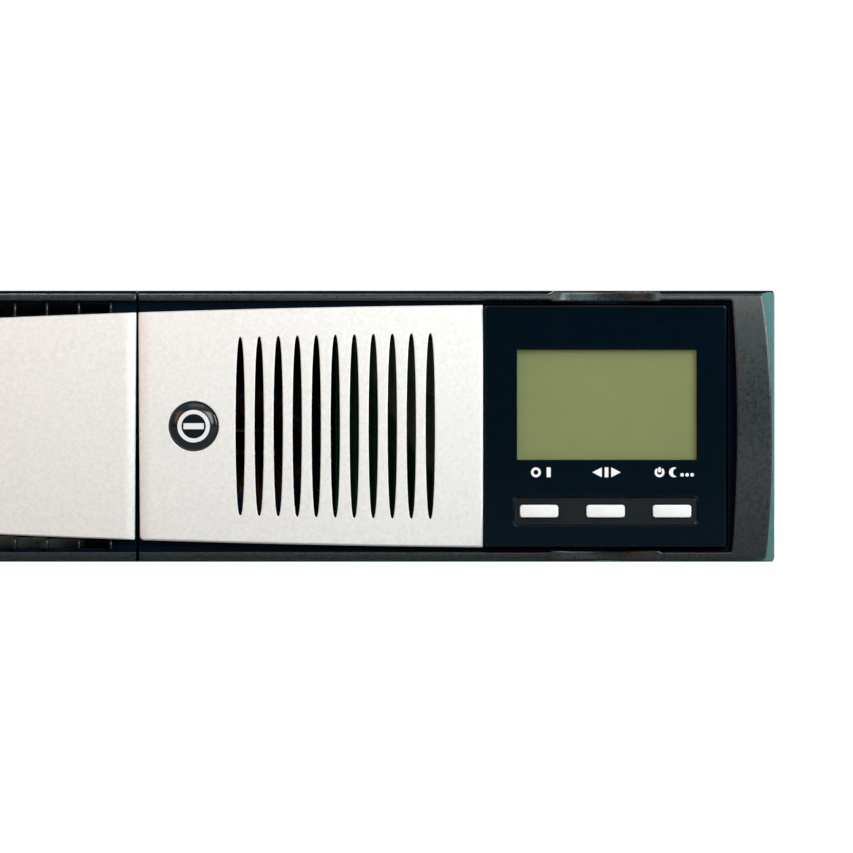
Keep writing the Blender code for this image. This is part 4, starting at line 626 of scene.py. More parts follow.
def settle(name, bm, finish, body, replaces=(), sharp=35, welded=False):
    """Makes the piece. finish is one finish or a list; faces already know which by their index."""
    if not welded:
        weld(bm)
    mesh = as_mesh(name, bm)
    for one in finish if isinstance(finish, list) else [finish]:
        mesh.materials.append(finishes[one])
    shade(mesh, sharp)
    return tie(name, mesh, body, replaces)


def soft_copy(node, finish, width, segments=2, angle=30):
    """The frame's own shape with its sharp corners rounded. The rounded faces carry the edge
    value."""
    bm = bmesh.new()
    bm.from_mesh(nodes[node].data)
    bmesh.ops.remove_doubles(bm, verts=bm.verts, dist=2e-6)
    bmesh.ops.dissolve_limit(bm, angle_limit=math.radians(0.1), verts=bm.verts, edges=bm.edges)
    value = bm.faces.layers.float.new("edge")
    sharp = [e for e in bm.edges if e.is_manifold and e.calc_face_angle() > math.radians(angle)
             and e.is_convex and e.calc_length() > width]
    made = bmesh.ops.bevel(bm, geom=sharp, offset=width, offset_type="OFFSET", segments=segments,
                           profile=0.5, affect="EDGES", clamp_overlap=True)
    for face in made["faces"]:
        face[value] = 1.0
    return settle(f"{node}_finished", bm, finish, bodies[node], [node], welded=True)


def soft_copies(finish, width, segments, names, angle=30):
    for name in names.split():
        soft_copy(name, finish, width, segments, angle)


# %% [markdown]
# ## The two silver panels
# On the real object these are thin crowned covers of lacquered plastic. Their upright edges roll
# back gently, which is why a bright line stands beside the seam. A subdivided cage could do this,
# but then the slots would pull the surface about. Rows and a fill keep the face clean: the slots
# are only more rows with a small lip of their own.

# %% Silver panels
panel_face, skin_rear = crown(0.0012, 0.0026), crown(0.0032, 0.0026)
PANEL_BACK, PANEL_WALL = 0.0082, 0.0016
PANEL_LIP_DROP, SLOT_LIP = 0.0009, 0.00028


def panel_outline(left_at, right_at, radii):
    """The panel seen from the front, counter-clockwise from its lower left corner."""
    left_x, right_x = left_at(MID_Z), right_at(MID_Z)
    columns = np.linspace(left_x, right_x, 42)[1:-1]
    rows = np.linspace(-1, 1, 16)[1:-1]
    halves = panel_half(left_x), panel_half(right_x)
    heights = [(MID_Z - half, MID_Z + half) for half in halves]
    points = [(left_at(heights[0][0]), heights[0][0], radii[0])]
    points += [(x, MID_Z - panel_half(x), 0) for x in columns]
    points += [(right_at(heights[1][0]), heights[1][0], radii[1])]
    points += [(right_at(MID_Z + halves[1] * r), MID_Z + halves[1] * r, 0) for r in rows]
    points += [(right_at(heights[1][1]), heights[1][1], radii[2])]
    points += [(x, MID_Z + panel_half(x), 0) for x in columns[::-1]]
    points += [(left_at(heights[0][1]), heights[0][1], radii[3])]
    points += [(left_at(MID_Z + halves[0] * r), MID_Z + halves[0] * r, 0) for r in rows[::-1]]
    return round_corners(points, 4)


def shrink(points, left, right, up):
    """The same outline, drawn in by different amounts at its left, its right, and its top and
    bottom."""
    xs = [p[0] for p in points]
    low, high = min(xs), max(xs)
    scale = (high - low - left - right) / (high - low)
    return [(low + left + (x - low) * scale, MID_Z + (z - MID_Z) * (1 - up / PANEL_HALF))
            for x, z in points]


def silver_panel(name, outline, rolls, holes):
    """rolls are how far the left, right and upper edges roll in. holes are outlines through the
    face."""
    bm = bmesh.new()
    wall, rim = add_lip(bm, lambda s: shrink(outline, *(roll * s for roll in rolls)), panel_face,
                        PANEL_LIP_DROP, ROLLED)
    inner_outline = shrink(outline, PANEL_WALL, PANEL_WALL, PANEL_WALL)
    back = add_row(bm, outline, level(PANEL_BACK))
    inner_back = add_row(bm, inner_outline, level(PANEL_BACK))
    inner = add_row(bm, inner_outline, skin_rear)
    bridge_all(bm, [wall, back, inner_back, inner])
    front_rows, rear_rows = open_holes(bm, holes, SLOT_LIP, panel_face, skin_rear)
    fill(bm, rim, front_rows, panel_face, 0.0030)
    fill(bm, inner, rear_rows, skin_rear, 0.0060)
    settle(f"{name}_skin", bm, "silver_paint", bodies[name], [name])


def seam_side(top, bottom):
    """A panel's edge at the seam: the gap is a little wider at the foot."""
    return lambda z: bottom + (top - bottom) * z / TOP


SLOT_COUNT, SLOT_FIRST_X, SLOT_PITCH = 11, 0.0494, 0.00606
SLOT_HALF_WIDTH, SLOT_TO_EDGE, SLOT_POINT = 0.0015, 0.0088, 0.76
BUTTON_HOLE = 0.0080
slots = []
for x in (SLOT_FIRST_X + i * SLOT_PITCH for i in range(SLOT_COUNT)):
    half = panel_half(x) - SLOT_TO_EDGE
    slots.append([(x + SLOT_HALF_WIDTH * math.copysign(abs(math.cos(a)) ** SLOT_POINT, math.cos(a)),
                   MID_Z + half * math.sin(a)) for a in turns_of(48, 0.5)])
button_hole = circle_at(BUTTON_X, MID_Z, BUTTON_HOLE, 56)
silver_panel("vent_panel", panel_outline(seam_side(0.0169, 0.0175), lambda z: vent_high.x,
                                         (0.0015, 0.0005, 0.0005, 0.0007)),
             (0.0034, 0.0008, 0.0007), [*slots, button_hole])
silver_panel("plain_panel", panel_outline(lambda z: 0.0010 - cap_inner(z), seam_side(0.0163,
                                                                                     0.0157),
                                          (0.0008, 0.0006, 0.0006, 0.0008)),
             (0.0020, 0.0034, 0.0007), [])

# %% [markdown]
# ## The bezel's two halves
# Each half is a moulded shell: a flat flange all round, and on it a raised frame, with a rail
# along the top and the bottom and a bowed cap at the end. The frame is crowned like the panels.
# Over the display the rails dip into two finger scoops. The frame's outline is drawn once for the
# right half; the left half is its mirror.

# %% Bezel outlines
FLANGE_FACE, FLANGE_BACK = 0.0085, 0.0105
SHELL_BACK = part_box("right_bezel")[1].y - FRONT
RAIL_LOW, RAIL_WIDTH = 0.0013, 0.0021
SCOOP_HALF, SCOOP_RADIUS, SCOOP_FLOOR = 0.014, 0.030, 0.0046
PAD_HALF, PAD_FLAT, PAD_EDGE, PAD_DROP = 0.0178, 0.0170, 0.0006, 0.0005
frame_face = crown(0.0018, 0.0028)


def scooped(x, z):
    """The frame's depth, with the two scoops dipped in."""
    across = abs(x - MODULE_X)
    depth = frame_face(x, z)
    if across < SCOOP_HALF:
        depth = max(depth, SCOOP_FLOOR - math.sqrt(SCOOP_RADIUS**2 - SCOOP_HALF**2)
                    + math.sqrt(SCOOP_RADIUS**2 - across**2))
    return depth


def frame_outline(seam, pads):
    """The raised frame of the right half, counter-clockwise: a C that opens towards the seam."""
    def pad(way, edge_z, pad_z, radius):
        """A finger pad's corners. way is 1 where the outline runs to the right."""
        corners = ((-PAD_HALF, edge_z), (-PAD_FLAT, pad_z), (PAD_FLAT, pad_z), (PAD_HALF, edge_z))
        return [(MODULE_X + way * x, z, radius) for x, z in corners] if pads else []

    low, high = RAIL_LOW, TOP - RAIL_LOW
    inner_low, inner_high = low + RAIL_WIDTH, high - RAIL_WIDTH
    points = [(seam, low, 0.0004), *pad(1, low, PAD_EDGE, 0.0004), (cap_outer(low), low, 0.0008)]
    points += [(cap_outer(z), z, 0) for z in np.linspace(low, high, 26)[1:-1]]
    points += [(cap_outer(high), high, 0.0008), *pad(-1, high, TOP - PAD_EDGE, 0.0004)]
    points += [(seam, high, 0.0004), (seam, inner_high, 0.0004)]
    points += pad(1, inner_high, inner_high - PAD_DROP, 0.0003)
    points += [(cap_inner(inner_high), inner_high, 0.0006)]
    points += [(cap_inner(z), z, 0) for z in np.linspace(inner_high, inner_low, 26)[1:-1]]
    points += [(cap_inner(inner_low), inner_low, 0.0006)]
    points += [*pad(-1, inner_low, inner_low + PAD_DROP, 0.0003), (seam, inner_low, 0.0004)]
    return divide(round_corners(points, 4), 0.0020)


def mirrored(points):
    return [(-x, z) for x, z in points[::-1]]


# %% [markdown]
# The shell takes the frame, the flange and the openings and puts them together. The flange's face
# is one surface in two painted tones: near black as painted shade in the grooves round the panels
# and along the top, and petrol green as a painted reflection of teal light where it shows beyond
# the frame, at the end and along the foot.

# %% Build a bezel half
FLANGE_LIP, FLANGE_EDGE, FLANGE_END, SHELL_WALL = 0.0003, 0.0003, 0.2199, 0.002
ROOT = FLANGE_FACE + 0.0004  # the frame's root lies a little inside the flange
# Face indices for the flange's painted tones: the teal reflection and the groove shade.
TEAL_REFLECTION, GROOVE_SHADE = 1, 2
EDGE_STEP = 0.006


def bezel(name, sign, seam, openings, pads, extra=None):
    bm = bmesh.new()
    surface = scooped if pads else frame_face
    frame_path = frame_outline(sign * seam, pads)
    if sign < 0:
        frame_path = mirrored(frame_path)
    wall, rim = add_lip(bm, lambda s: offset(frame_path, 0.00062 * s), surface, 0.0007)
    root = add_row(bm, frame_path, level(ROOT))
    bridge(bm, wall, root)
    fill(bm, rim, [], surface, 0.0022)
    fill(bm, root, [], level(ROOT), 0)
    x0, x1 = sorted((seam, sign * FLANGE_END))
    z0, z1 = FLANGE_EDGE, TOP - FLANGE_EDGE
    left, right = (0.0005, 0.0016) if sign > 0 else (0.0016, 0.0005)
    skirt = round_corners([(x0, z0, left), (x1, z0, right), (x1, z1, right), (x0, z1, left)], 6)
    skirt = divide(skirt, EDGE_STEP)
    inner = divide(box_outline(x0 + SHELL_WALL, x1 - SHELL_WALL, z0 + SHELL_WALL, z1 - SHELL_WALL,
                               0.0004, 4), EDGE_STEP)
    wall, rim = add_lip(bm, lambda s: offset(skirt, FLANGE_LIP * s), level(FLANGE_FACE), FLANGE_LIP)
    back = add_row(bm, skirt, level(SHELL_BACK))
    bridge(bm, wall, back)
    inner_back = add_row(bm, inner, level(SHELL_BACK))
    inner_front = add_row(bm, inner, level(FLANGE_BACK))
    bridge(bm, inner_back, inner_front)
    fill(bm, back, [inner_back], level(SHELL_BACK), 0)
    front_rows, rear_rows = open_holes(bm, openings, 0.0002, level(FLANGE_FACE), level(FLANGE_BACK))
    fill(bm, rim, front_rows, level(FLANGE_FACE), 0, [frame_path])
    fill(bm, inner_front, rear_rows, level(FLANGE_BACK), 0)
    if extra:
        extra(bm)
    weld(bm)
    # The flange's front faces are painted by where light falls on them: teal reflection beyond the
    # cap's outer edge and along the foot, near-black shade in the grooves and along the top.
    for face in bm.faces:
        x, y, z = face.calc_center_median()
        if FLANGE_FACE - 0.0002 < y - FRONT < FLANGE_FACE + 0.0010:
            beyond = sign * x > cap_outer(z) - 0.0002 and z < TOP - 0.0011
            face.material_index = TEAL_REFLECTION if beyond or z < RAIL_LOW else GROOVE_SHADE
    settle(f"{name}_shell", bm, ["graphite", "flange_teal", "groove_black"], bodies[name],
           [name], welded=True)


def add_tube_wall(bm, outer, inner, front, back):
    """A straight wall between two outlines, closed at both ends."""
    rows = [add_row(bm, outer, level(front)), add_row(bm, outer, level(back)),
            add_row(bm, inner, level(back)), add_row(bm, inner, level(front))]
    bridge(bm, rows[0], rows[1])
    bridge(bm, rows[2], rows[3])
    fill(bm, rows[0], [rows[3]], level(front), 0)
    fill(bm, rows[1], [rows[2]], level(back), 0)


WELL_GAP, WELL_WALL, WELL_BACK = 0.0005, 0.0016, 0.033
BOSS, BOSS_FRONT, BOSS_FLOOR, BOSS_BACK, STEM_HOLE = 0.0096, 0.0042, 0.0164, 0.0180, 0.0029
well_x = (module_low.x - WELL_GAP, module_high.x + WELL_GAP)
well_z = (module_low.z - WELL_GAP, module_high.z + WELL_GAP)
well = divide(box_outline(*well_x, *well_z, 0.0012), EDGE_STEP)
vent_opening = divide(box_outline(SLOT_FIRST_X - SLOT_PITCH / 2, SLOT_FIRST_X + 10.5 * SLOT_PITCH,
                                  0.016, TOP - 0.016, 0.0010), EDGE_STEP)


def right_details(bm):
    """The display's well and the button's boss, behind and around their openings."""
    outer = divide(box_outline(well_x[0] - WELL_WALL, well_x[1] + WELL_WALL, well_z[0] - WELL_WALL,
                               well_z[1] + WELL_WALL, 0.0020), EDGE_STEP)
    add_tube_wall(bm, outer, well, FLANGE_FACE + 0.0006, WELL_BACK)
    add_tube_wall(bm, circle_at(BUTTON_X, MID_Z, BOSS, 56), button_hole, BOSS_FRONT, BOSS_FLOOR)
    bridge_all(bm, [add_row(bm, circle_at(BUTTON_X, MID_Z, radius, 56), level(depth))
                    for radius, depth in ((BOSS, BOSS_FLOOR), (BOSS, BOSS_BACK),
                                          (STEM_HOLE, BOSS_BACK), (STEM_HOLE, BOSS_FLOOR))], "ring")


bezel("right_bezel", 1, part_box("right_bezel")[0].x, [well, vent_opening, button_hole], True,
      right_details)

# %% [markdown]
# The left half is the battery cover. Between its rails and the silver panel the flange is open, and
# a comb of thin ribs crosses the openings to keep fingers out. The openings follow the panel's arc,
# so each is a little taller than the one before.

# %% Battery cover
RIB_PITCH, RIB_WIDTH, RIB_DEPTH = 0.0102, 0.0007, 0.0050
FIRST_RIB_X = SEAM_X - 0.0085
LAST_RIB_X = -0.220 + 0.0138 + RIB_PITCH
RIB_LOW = RAIL_LOW + RAIL_WIDTH + 0.0012
rib_count = 0
rib_openings = []
while FIRST_RIB_X - rib_count * RIB_PITCH > LAST_RIB_X:
    x = FIRST_RIB_X - rib_count * RIB_PITCH
    edge_z = MID_Z - panel_half(x) - 0.0003
    for low, high in ((RIB_LOW, edge_z), (TOP - edge_z, TOP - RIB_LOW)):
        rib_openings.append(box_outline(x - RIB_PITCH + RIB_WIDTH / 2, x - RIB_WIDTH / 2, low, high,
                                        0.0003, 2))
    rib_count += 1
bezel("battery_cover", -1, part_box("battery_cover")[1].x, rib_openings, False)
print(rib_count, "ribs in each row")

# %% [markdown]
# ## Geometry Nodes for what repeats
# A rib, a fin or a screw is drawn once and placed many times. A small node tree does the placing:
# the inputs have names, so the tree reads like a form, and the result is made real and given its
# finish before it leaves the tree. Each tree is then turned into a plain mesh.

# %% Tree tools
def node_tree(name, inputs):
    """A geometry tree with named inputs, besides the geometry itself."""
    tree = bpy.data.node_groups.new(name, "GeometryNodeTree")
    tree.interface.new_socket("Geometry", in_out="INPUT", socket_type="NodeSocketGeometry")
    tree.interface.new_socket("Geometry", in_out="OUTPUT", socket_type="NodeSocketGeometry")
    for label, kind in {**inputs, "Finish": "Material"}.items():
        tree.interface.new_socket(label, in_out="INPUT", socket_type=f"NodeSocket{kind}")
    return tree, tree.nodes.new("NodeGroupInput").outputs


def close_tree(tree, geometry):
    """Makes the copies real and gives them their finish."""
    finish = next(n for n in tree.nodes if n.type == "GROUP_INPUT").outputs["Finish"]
    real = step(tree, "GeometryNodeRealizeInstances", Geometry=geometry)
    painted = step(tree, "GeometryNodeSetMaterial", Geometry=real.outputs[0], Material=finish)
    tree.links.new(painted.outputs[0], tree.nodes.new("NodeGroupOutput").inputs[0])


def grown(name, bm, tree, body, slot, finish, replaces=(), **values):
    """Runs a tree on a drawn piece and keeps the result as a plain mesh."""
    weld(bm)
    seed = add_object(f"{name}_seed", as_mesh(f"{name}_seed", bm))
    shade(seed.data)
    modifier = seed.modifiers.new("grow", "NODES")
    modifier.node_group = tree
    values["Finish"] = finishes[finish]
    for item in tree.interface.items_tree:
        label = item.name.replace(" ", "_")
        if item.item_type == "SOCKET" and item.in_out == "INPUT" and label in values:
            modifier[item.identifier] = values[label]
    graph = bpy.context.evaluated_depsgraph_get()
    mesh = bpy.data.meshes.new_from_object(seed.evaluated_get(graph))
    bpy.data.objects.remove(seed)
    mesh.name = name
    tie(name, mesh, body, replaces)


def soft_box(bm, x, y, z, width=0.0002, segments=2):
    """A box with rounded edges."""
    verts = bmesh.ops.create_cube(bm, size=1)["verts"]
    for v in verts:
        v.co = Vector([low + (at + 0.5) * (high - low) for at, (low, high) in zip(v.co, (x, y, z))])
    edges = list({e for v in verts for e in v.link_edges})
    bmesh.ops.bevel(bm, geom=edges, offset=width, offset_type="OFFSET", segments=segments,
                    profile=0.5, affect="EDGES")


# %% [markdown]
# The ribs' tree sets copies along a line. Each copy is then stretched upwards by the panel's arc at
# its own place, which is the rule that the real comb follows.

# %% Rib comb
comb, given = node_tree("rib_comb", {"Count": "Int", "Pitch": "Float", "First": "Vector",
                                     "Arc centre": "Float", "Tallest": "Float"})
along = step(comb, "ShaderNodeCombineXYZ", X=maths(comb, "MULTIPLY", given["Pitch"], -1.0))
line = step(comb, "GeometryNodeMeshLine", Count=given["Count"], Start_Location=given["First"],
            Offset=along.outputs[0])
where = step(comb, "ShaderNodeSeparateXYZ",
             Vector=step(comb, "GeometryNodeInputPosition").outputs[0])
square = maths(comb, "POWER", maths(comb, "SUBTRACT", where.outputs["X"], given["Arc centre"]), 2.0)
tall = maths(comb, "MULTIPLY_ADD", square, 1 / (2 * ARC_RADIUS), given["Tallest"])
scale = step(comb, "ShaderNodeCombineXYZ", X=1.0, Y=1.0, Z=tall)
copies = step(comb, "GeometryNodeInstanceOnPoints", Points=line.outputs[0],
              Instance=given["Geometry"], Scale=scale.outputs[0])
close_tree(comb, copies.outputs[0])
tallest = MID_Z - PANEL_HALF - RIB_LOW + 0.0002
for name, way, foot in (("rib_comb_lower", 1, RIB_LOW - 0.0004),
                        ("rib_comb_upper", -1, TOP - RIB_LOW + 0.0004)):
    bm = bmesh.new()
    soft_box(bm, (-RIB_WIDTH / 2, RIB_WIDTH / 2), (0, RIB_DEPTH), sorted((0, way)), 0.0003)
    grown(name, bm, comb, bodies["battery_cover"], "graphite_plastic", "graphite", Count=rib_count,
          Pitch=RIB_PITCH, First=(FIRST_RIB_X, FRONT + 0.0055, foot), Tallest=tallest,
          Arc_centre=MODULE_X)

# %% [markdown]
# ## The display module's face
# The faceplate is one gloss black moulding. The window is a hole with a fine lip, and the keys sit
# in a shallow trough. Its rims catch the light at their round corners, and a painted highlight on
# their small faces adds to it.

# %% Faceplate
WINDOW_X, WINDOW_Z = (0.13770, 0.19490), (0.0328, 0.0678)
TROUGH_X, TROUGH_Z = (0.1366, 0.1952), (0.0119, 0.0209)
FACE, TROUGH, PLATE_REAR = 0.0030, 0.0040, 0.0052
KEY_HALF_WIDTH, KEY_HALF_HEIGHT = 0.0063, 0.0022
KEYS = ("key_on", "key_select", "key_standby")
key_middles = [((low.x + high.x) / 2, (low.z + high.z) / 2) for low, high in map(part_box, KEYS)]
bm = bmesh.new()
outline = box_outline(module_low.x, module_high.x, module_low.z, module_high.z, 0.0010)
wall, rim = add_lip(bm, lambda s: offset(outline, 0.0005 * s), level(FACE), 0.0005)
back = add_row(bm, outline, level(PLATE_REAR))
bridge(bm, wall, back)
window_rims, window_backs = open_holes(bm, [box_outline(*WINDOW_X, *WINDOW_Z, 0.0006)], 0.0003,
                                       level(FACE), level(PLATE_REAR))
trough = box_outline(*TROUGH_X, *TROUGH_Z, 0.0014)
trough_wall, trough_rim = add_lip(bm, lambda s: offset(trough, -0.0004 * s), level(FACE), 0.00035)
trough_floor = add_row(bm, offset(trough, 0.0003), level(TROUGH))
trough_faces = bridge(bm, trough_wall, trough_floor)
key_holes = [box_outline(x - KEY_HALF_WIDTH, x + KEY_HALF_WIDTH, z - KEY_HALF_HEIGHT,
                         z + KEY_HALF_HEIGHT, 0.0009) for x, z in key_middles]
key_rims, key_backs = open_holes(bm, key_holes, 0.0002, level(TROUGH), level(PLATE_REAR))
trough_faces += fill(bm, trough_floor, key_rims, level(TROUGH), 0)
fill(bm, rim, [*window_rims, trough_rim], level(FACE), 0)
fill(bm, back, [*window_backs, *key_backs], level(PLATE_REAR), 0)
for face in trough_faces:
    face.material_index = 1
# The small faces of the front rims and their round corners get the edge value, so that the rub
# effect paints a pale highlight where they catch the light.
value = bm.faces.layers.float.new("edge")
for face in bm.faces:
    small = face.calc_area() < 2e-7
    face[value] = 1.0 if small and face.calc_center_median().y < FRONT + TROUGH else 0.0
settle("display_faceplate_skin", bm, ["gloss_black", "recess_grey"], "display",
       ["display_faceplate"])
soft_copies("key_white", 0.00035, 3, "key_on key_select key_standby")
soft_copies("matte_black", 0.0004, 2, "display_housing")
soft_copies("clear_window", 0.0001, 1, "lcd_lens")
soft_copies("lcd_green", 0.0002, 1, "lcd_panel")
soft_copies("board_green", 0.0001, 1, "display_board")

# %% [markdown]
# The keys are told apart by printed signs, not words: a ring and a bar for on, two arrows for
# stepping through the readings, and a crescent with a broken ring for standby. Ink has almost no
# thickness, so each sign is a plate a few hundredths of a millimetre proud of the face.

# %% Printed signs
INK = 0.00005


def print_shape(bm, outline, depth, holes=()):
    """A thin plate with this outline, and holes in it."""
    depths = (depth - INK, depth + INK)
    sides = [[add_row(bm, path, level(at)) for at in depths] for path in (outline, *holes)]
    for near, far in sides:
        bridge(bm, near, far)
    for (first, *rest), at in zip(zip(*sides), depths):
        fill(bm, first, rest, level(at), 0)


def arc(x, z, radius, start, stop, count):
    """Points along an arc, from one angle to another in degrees."""
    return [(x + radius * math.cos(a), z + radius * math.sin(a))
            for a in np.radians(np.linspace(start, stop, count))]


SIGN_Z, SIGN_HALF, RING_INNER = 0.0288, 0.00158, 0.00080
bm = bmesh.new()


def bar(low_x, high_x, low_z=SIGN_Z - SIGN_HALF):
    print_shape(bm, box_outline(low_x, high_x, low_z, SIGN_Z + SIGN_HALF, 0.0001, 1), FACE)


on_x, step_x, standby_x = (x + shift for (x, _), shift in zip(
    key_middles, (0.0008, 0.0003, 0.0004)))
print_shape(bm, circle_at(on_x - 0.0018, SIGN_Z, SIGN_HALF, 32), FACE,
            [circle_at(on_x - 0.0018, SIGN_Z, 0.00078, 32)])
bar(on_x + 0.0016, on_x + 0.0029)
for side in (-1, 1):
    tip, foot = step_x + side * 0.0045, step_x + side * 0.0015
    path = [(tip, SIGN_Z), (foot, SIGN_Z + SIGN_HALF), (foot, SIGN_Z - SIGN_HALF)]
    print_shape(bm, path if side < 0 else path[::-1], FACE)
bar(step_x - 0.0006, step_x + 0.0006)
ring_x, moon_x = standby_x - 0.0044, standby_x + 0.0002
print_shape(bm, arc(ring_x, SIGN_Z, SIGN_HALF, 125, 415, 29)
            + arc(ring_x, SIGN_Z, RING_INNER, 415, 125, 29), FACE)
bar(standby_x - 0.0048, standby_x - 0.0040, SIGN_Z)
print_shape(bm, arc(moon_x, SIGN_Z, SIGN_HALF, 55, 305, 24)
            + arc(standby_x + 0.0012, SIGN_Z, 0.00132, 265, 95, 20), FACE)
for dot in (0.0030, 0.0046, 0.0062):
    print_shape(bm, circle_at(standby_x + dot - 0.0002, SIGN_Z - 0.0008, 0.00058, 16), FACE)
settle("display_signs", bm, "print_white", "display")

# %% [markdown]
# ## The power button
# A turned shape: the profile runs from the middle to the rim and back to the axis, and is spun
# round. The face is flat, with a sloped rim. The ring and bar are inlaid in the face.

# %% Power button
DISH, AXIS = 0.00022, 0.0001
profile = [(AXIS, DISH), (0.0034, DISH), (0.0052, DISH), (0.0054, 0.00020), (0.0056, DISH),
           (0.0058, 0.00030), (0.0072, 0.00092), (0.0075, 0.00120), (0.0077, 0.00160),
           (0.0077, 0.0080), (0.0026, 0.0080), (0.0026, 0.0200), (AXIS, 0.0200)]
bm = bmesh.new()
bridge_all(bm, [add_row(bm, circle_at(BUTTON_X, MID_Z, radius, 64), level(depth))
                for radius, depth in profile], "caps")
settle("power_button_cap", bm, "button_black", "power_button", ["power_button"],
       sharp=50)
bm = bmesh.new()
ring, bore = (circle_at(BUTTON_X, MID_Z, radius, 56) for radius in (0.0052, 0.0039))
print_shape(bm, ring, DISH, [bore])
print_shape(bm, box_outline(BUTTON_X - 0.00325, BUTTON_X + 0.00325, MID_Z - 0.00095,
                            MID_Z + 0.00095, 0.0002), DISH)
settle("power_button_sign", bm, "print_white", "power_button")
# The coil rides on the button, so it is drawn shorter by a little more than the button's travel,
# and never meets the boss.
SPRING_CUT = 0.0017
spring_low, spring_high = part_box("power_button_spring")
spring = soft_copy("power_button_spring", "bright_steel", 0.00002, 1, angle=80)
left_over = 1 - SPRING_CUT / (spring_high.y - spring_low.y)
for point in spring.data.vertices:
    point.co.y = spring_low.y + (point.co.y - spring_low.y) * left_over
soft_copies("matte_black", 0.0003, 2, "power_switch")

# %% [markdown]
# ## Sheet metal
# The lid, base, walls and plates are folded steel. Their shapes in the frame are already right, but
# a real sheet has no razor edges: the bend is round and the cut edge is broken by deburring. A soft
# copy does both, and its rounded faces carry the value that the *rub* effect reads.

# %% Chassis pieces
soft_copies("case_paint", 0.00035, 3, "top_cover chassis_base front_plate rear_panel")
soft_copies("zinc_plate", 0.0003, 2, "bay_walls")
soft_copies("case_paint", 0.0003, 2, "slot_cover")
soft_copies("matte_black", 0.0003, 2,
            "display_socket battery_socket breaker_body outlet_bank_lower outlet_bank_upper")
soft_copies("matte_black", 0.0004, 2, "fan_frame")
soft_copies("matte_black", 0.0002, 2, "breaker_button")
soft_copies("bright_steel", 0.0002, 2, "usb_port serial_port")
soft_copies("terminal_green", 0.0003, 2, "stop_terminal")
# A film of black plastic closes the clearance round each port, just inside the rear panel.
FILM_DEPTH, FILM_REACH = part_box("rear_panel")[0].y - 0.0001 - FRONT, 0.0025
bm = bmesh.new()
for low, high in map(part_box, ("usb_port", "serial_port", "stop_terminal")):
    film = box_outline(low.x - FILM_REACH, high.x + FILM_REACH, low.z - FILM_REACH,
                       high.z + FILM_REACH, 0.0010)
    print_shape(bm, film, FILM_DEPTH, [box_outline(low.x, high.x, low.z, high.z, 0.0001, 1)])
settle("port_films", bm, "matte_black", "chassis")

# %% [markdown]
# ## Screws
# One screw head is drawn with a cross-shaped recess, cut by a Boolean, and a small tree sets it at
# the corner points of a mesh that only marks places. Countersunk heads lie flush in the lid's
# sides, and pan heads hold the fan.

# %% Draw screws
def screw_seed(profile, recess, count=28):
    """A screw along +Y from its head, with a cross recess in the head. recess is the cross's reach,
    the half width of its arms and its depth."""
    bm = bmesh.new()
    bridge_all(bm, [[bm.verts.new((radius * math.cos(a), along, radius * math.sin(a)))
                     for a in turns_of(count)] for radius, along in profile], "caps")
    weld(bm)
    solid = add_object("screw", as_mesh("screw", bm))
    half, arm, deep = recess
    quarter = [(half, -arm), (half, arm), (arm, arm)]
    cross = []
    for _ in range(4):
        cross += quarter
        quarter = [(-z, x) for x, z in quarter]
    bm = bmesh.new()
    bridge_all(bm, [[bm.verts.new((x, -0.001, z)) for x, z in cross],
                    [bm.verts.new((x * 0.55, profile[0][1] + deep, z * 0.55)) for x, z in cross]],
               "caps")
    weld(bm)
    tool = add_object("cross", as_mesh("cross", bm))
    solid.modifiers.new("cut", "BOOLEAN").object = tool
    graph = bpy.context.evaluated_depsgraph_get()
    result = bpy.data.meshes.new_from_object(solid.evaluated_get(graph))
    for one in (solid, tool):
        bpy.data.objects.remove(one)
    bm = bmesh.new()
    bm.from_mesh(result)
    return bm


scatter, given = node_tree("set_at_places", {"Places": "Object", "Turn": "Vector", "Spin": "Float"})
marks = step(scatter, "GeometryNodeObjectInfo", Object=given["Places"])
spin = maths(scatter, "MULTIPLY", step(scatter, "GeometryNodeInputIndex").outputs[0], given["Spin"])
own_turn = step(scatter, "ShaderNodeCombineXYZ", X=0.0, Y=spin, Z=0.0)
copies = step(scatter, "GeometryNodeInstanceOnPoints", Points=marks.outputs["Geometry"],
              Instance=given["Geometry"])
turned = step(scatter, "GeometryNodeRotateInstances", Instances=copies.outputs[0],
              Rotation=given["Turn"])
spun = step(scatter, "GeometryNodeRotateInstances", Instances=turned.outputs[0],
            Rotation=own_turn.outputs[0])
close_tree(scatter, spun.outputs[0])


def set_at(name, seed, places, finish, replaces=(), turn=0.0, spin=0.0):
    """Copies of a drawn piece at some places, turned about Z. spin turns each copy a little more
    than the one before."""
    marker = bpy.data.meshes.new(f"{name}_places")
    marker.from_pydata([tuple(p) for p in places], [], [])
    holder = add_object(f"{name}_places", marker)
    grown(name, seed, scatter, "chassis", "zinc_plate", finish, replaces, Places=holder,
          Turn=(0, 0, turn), Spin=spin)
    bpy.data.objects.remove(holder)


# %% Place screws
SPIN = 0.7
flush = [(AXIS, 0.0), (0.0022, 0.0), (0.0027, 0.0001), (0.0015, 0.0013), (0.0015, 0.0024),
         (AXIS, 0.0024)]
for side, wall, turn in (("left", cad_low.x, -math.pi / 2), ("right", cad_high.x, math.pi / 2)):
    names = [f"cover_screw_{side}_{row}" for row in ("front", "rear")]
    places = [(wall, middle_of(n).y, middle_of(n).z) for n in names]
    set_at(f"lid_screws_{side}", screw_seed(flush, (0.0014, 0.00028, 0.0009)), places, "zinc_plate",
           names, turn, SPIN)


def rear_screws(name, names, head, recess):
    """Pan screws through the rear panel. head is the profile from the head to the neck's start."""
    low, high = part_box(names[0])
    profile = head + [(head[-1][0], high.y - low.y), (AXIS, high.y - low.y)]
    places = [(middle_of(n).x, high.y, middle_of(n).z) for n in names]
    set_at(name, screw_seed(profile, recess), places, "bright_steel", names, math.pi, SPIN)


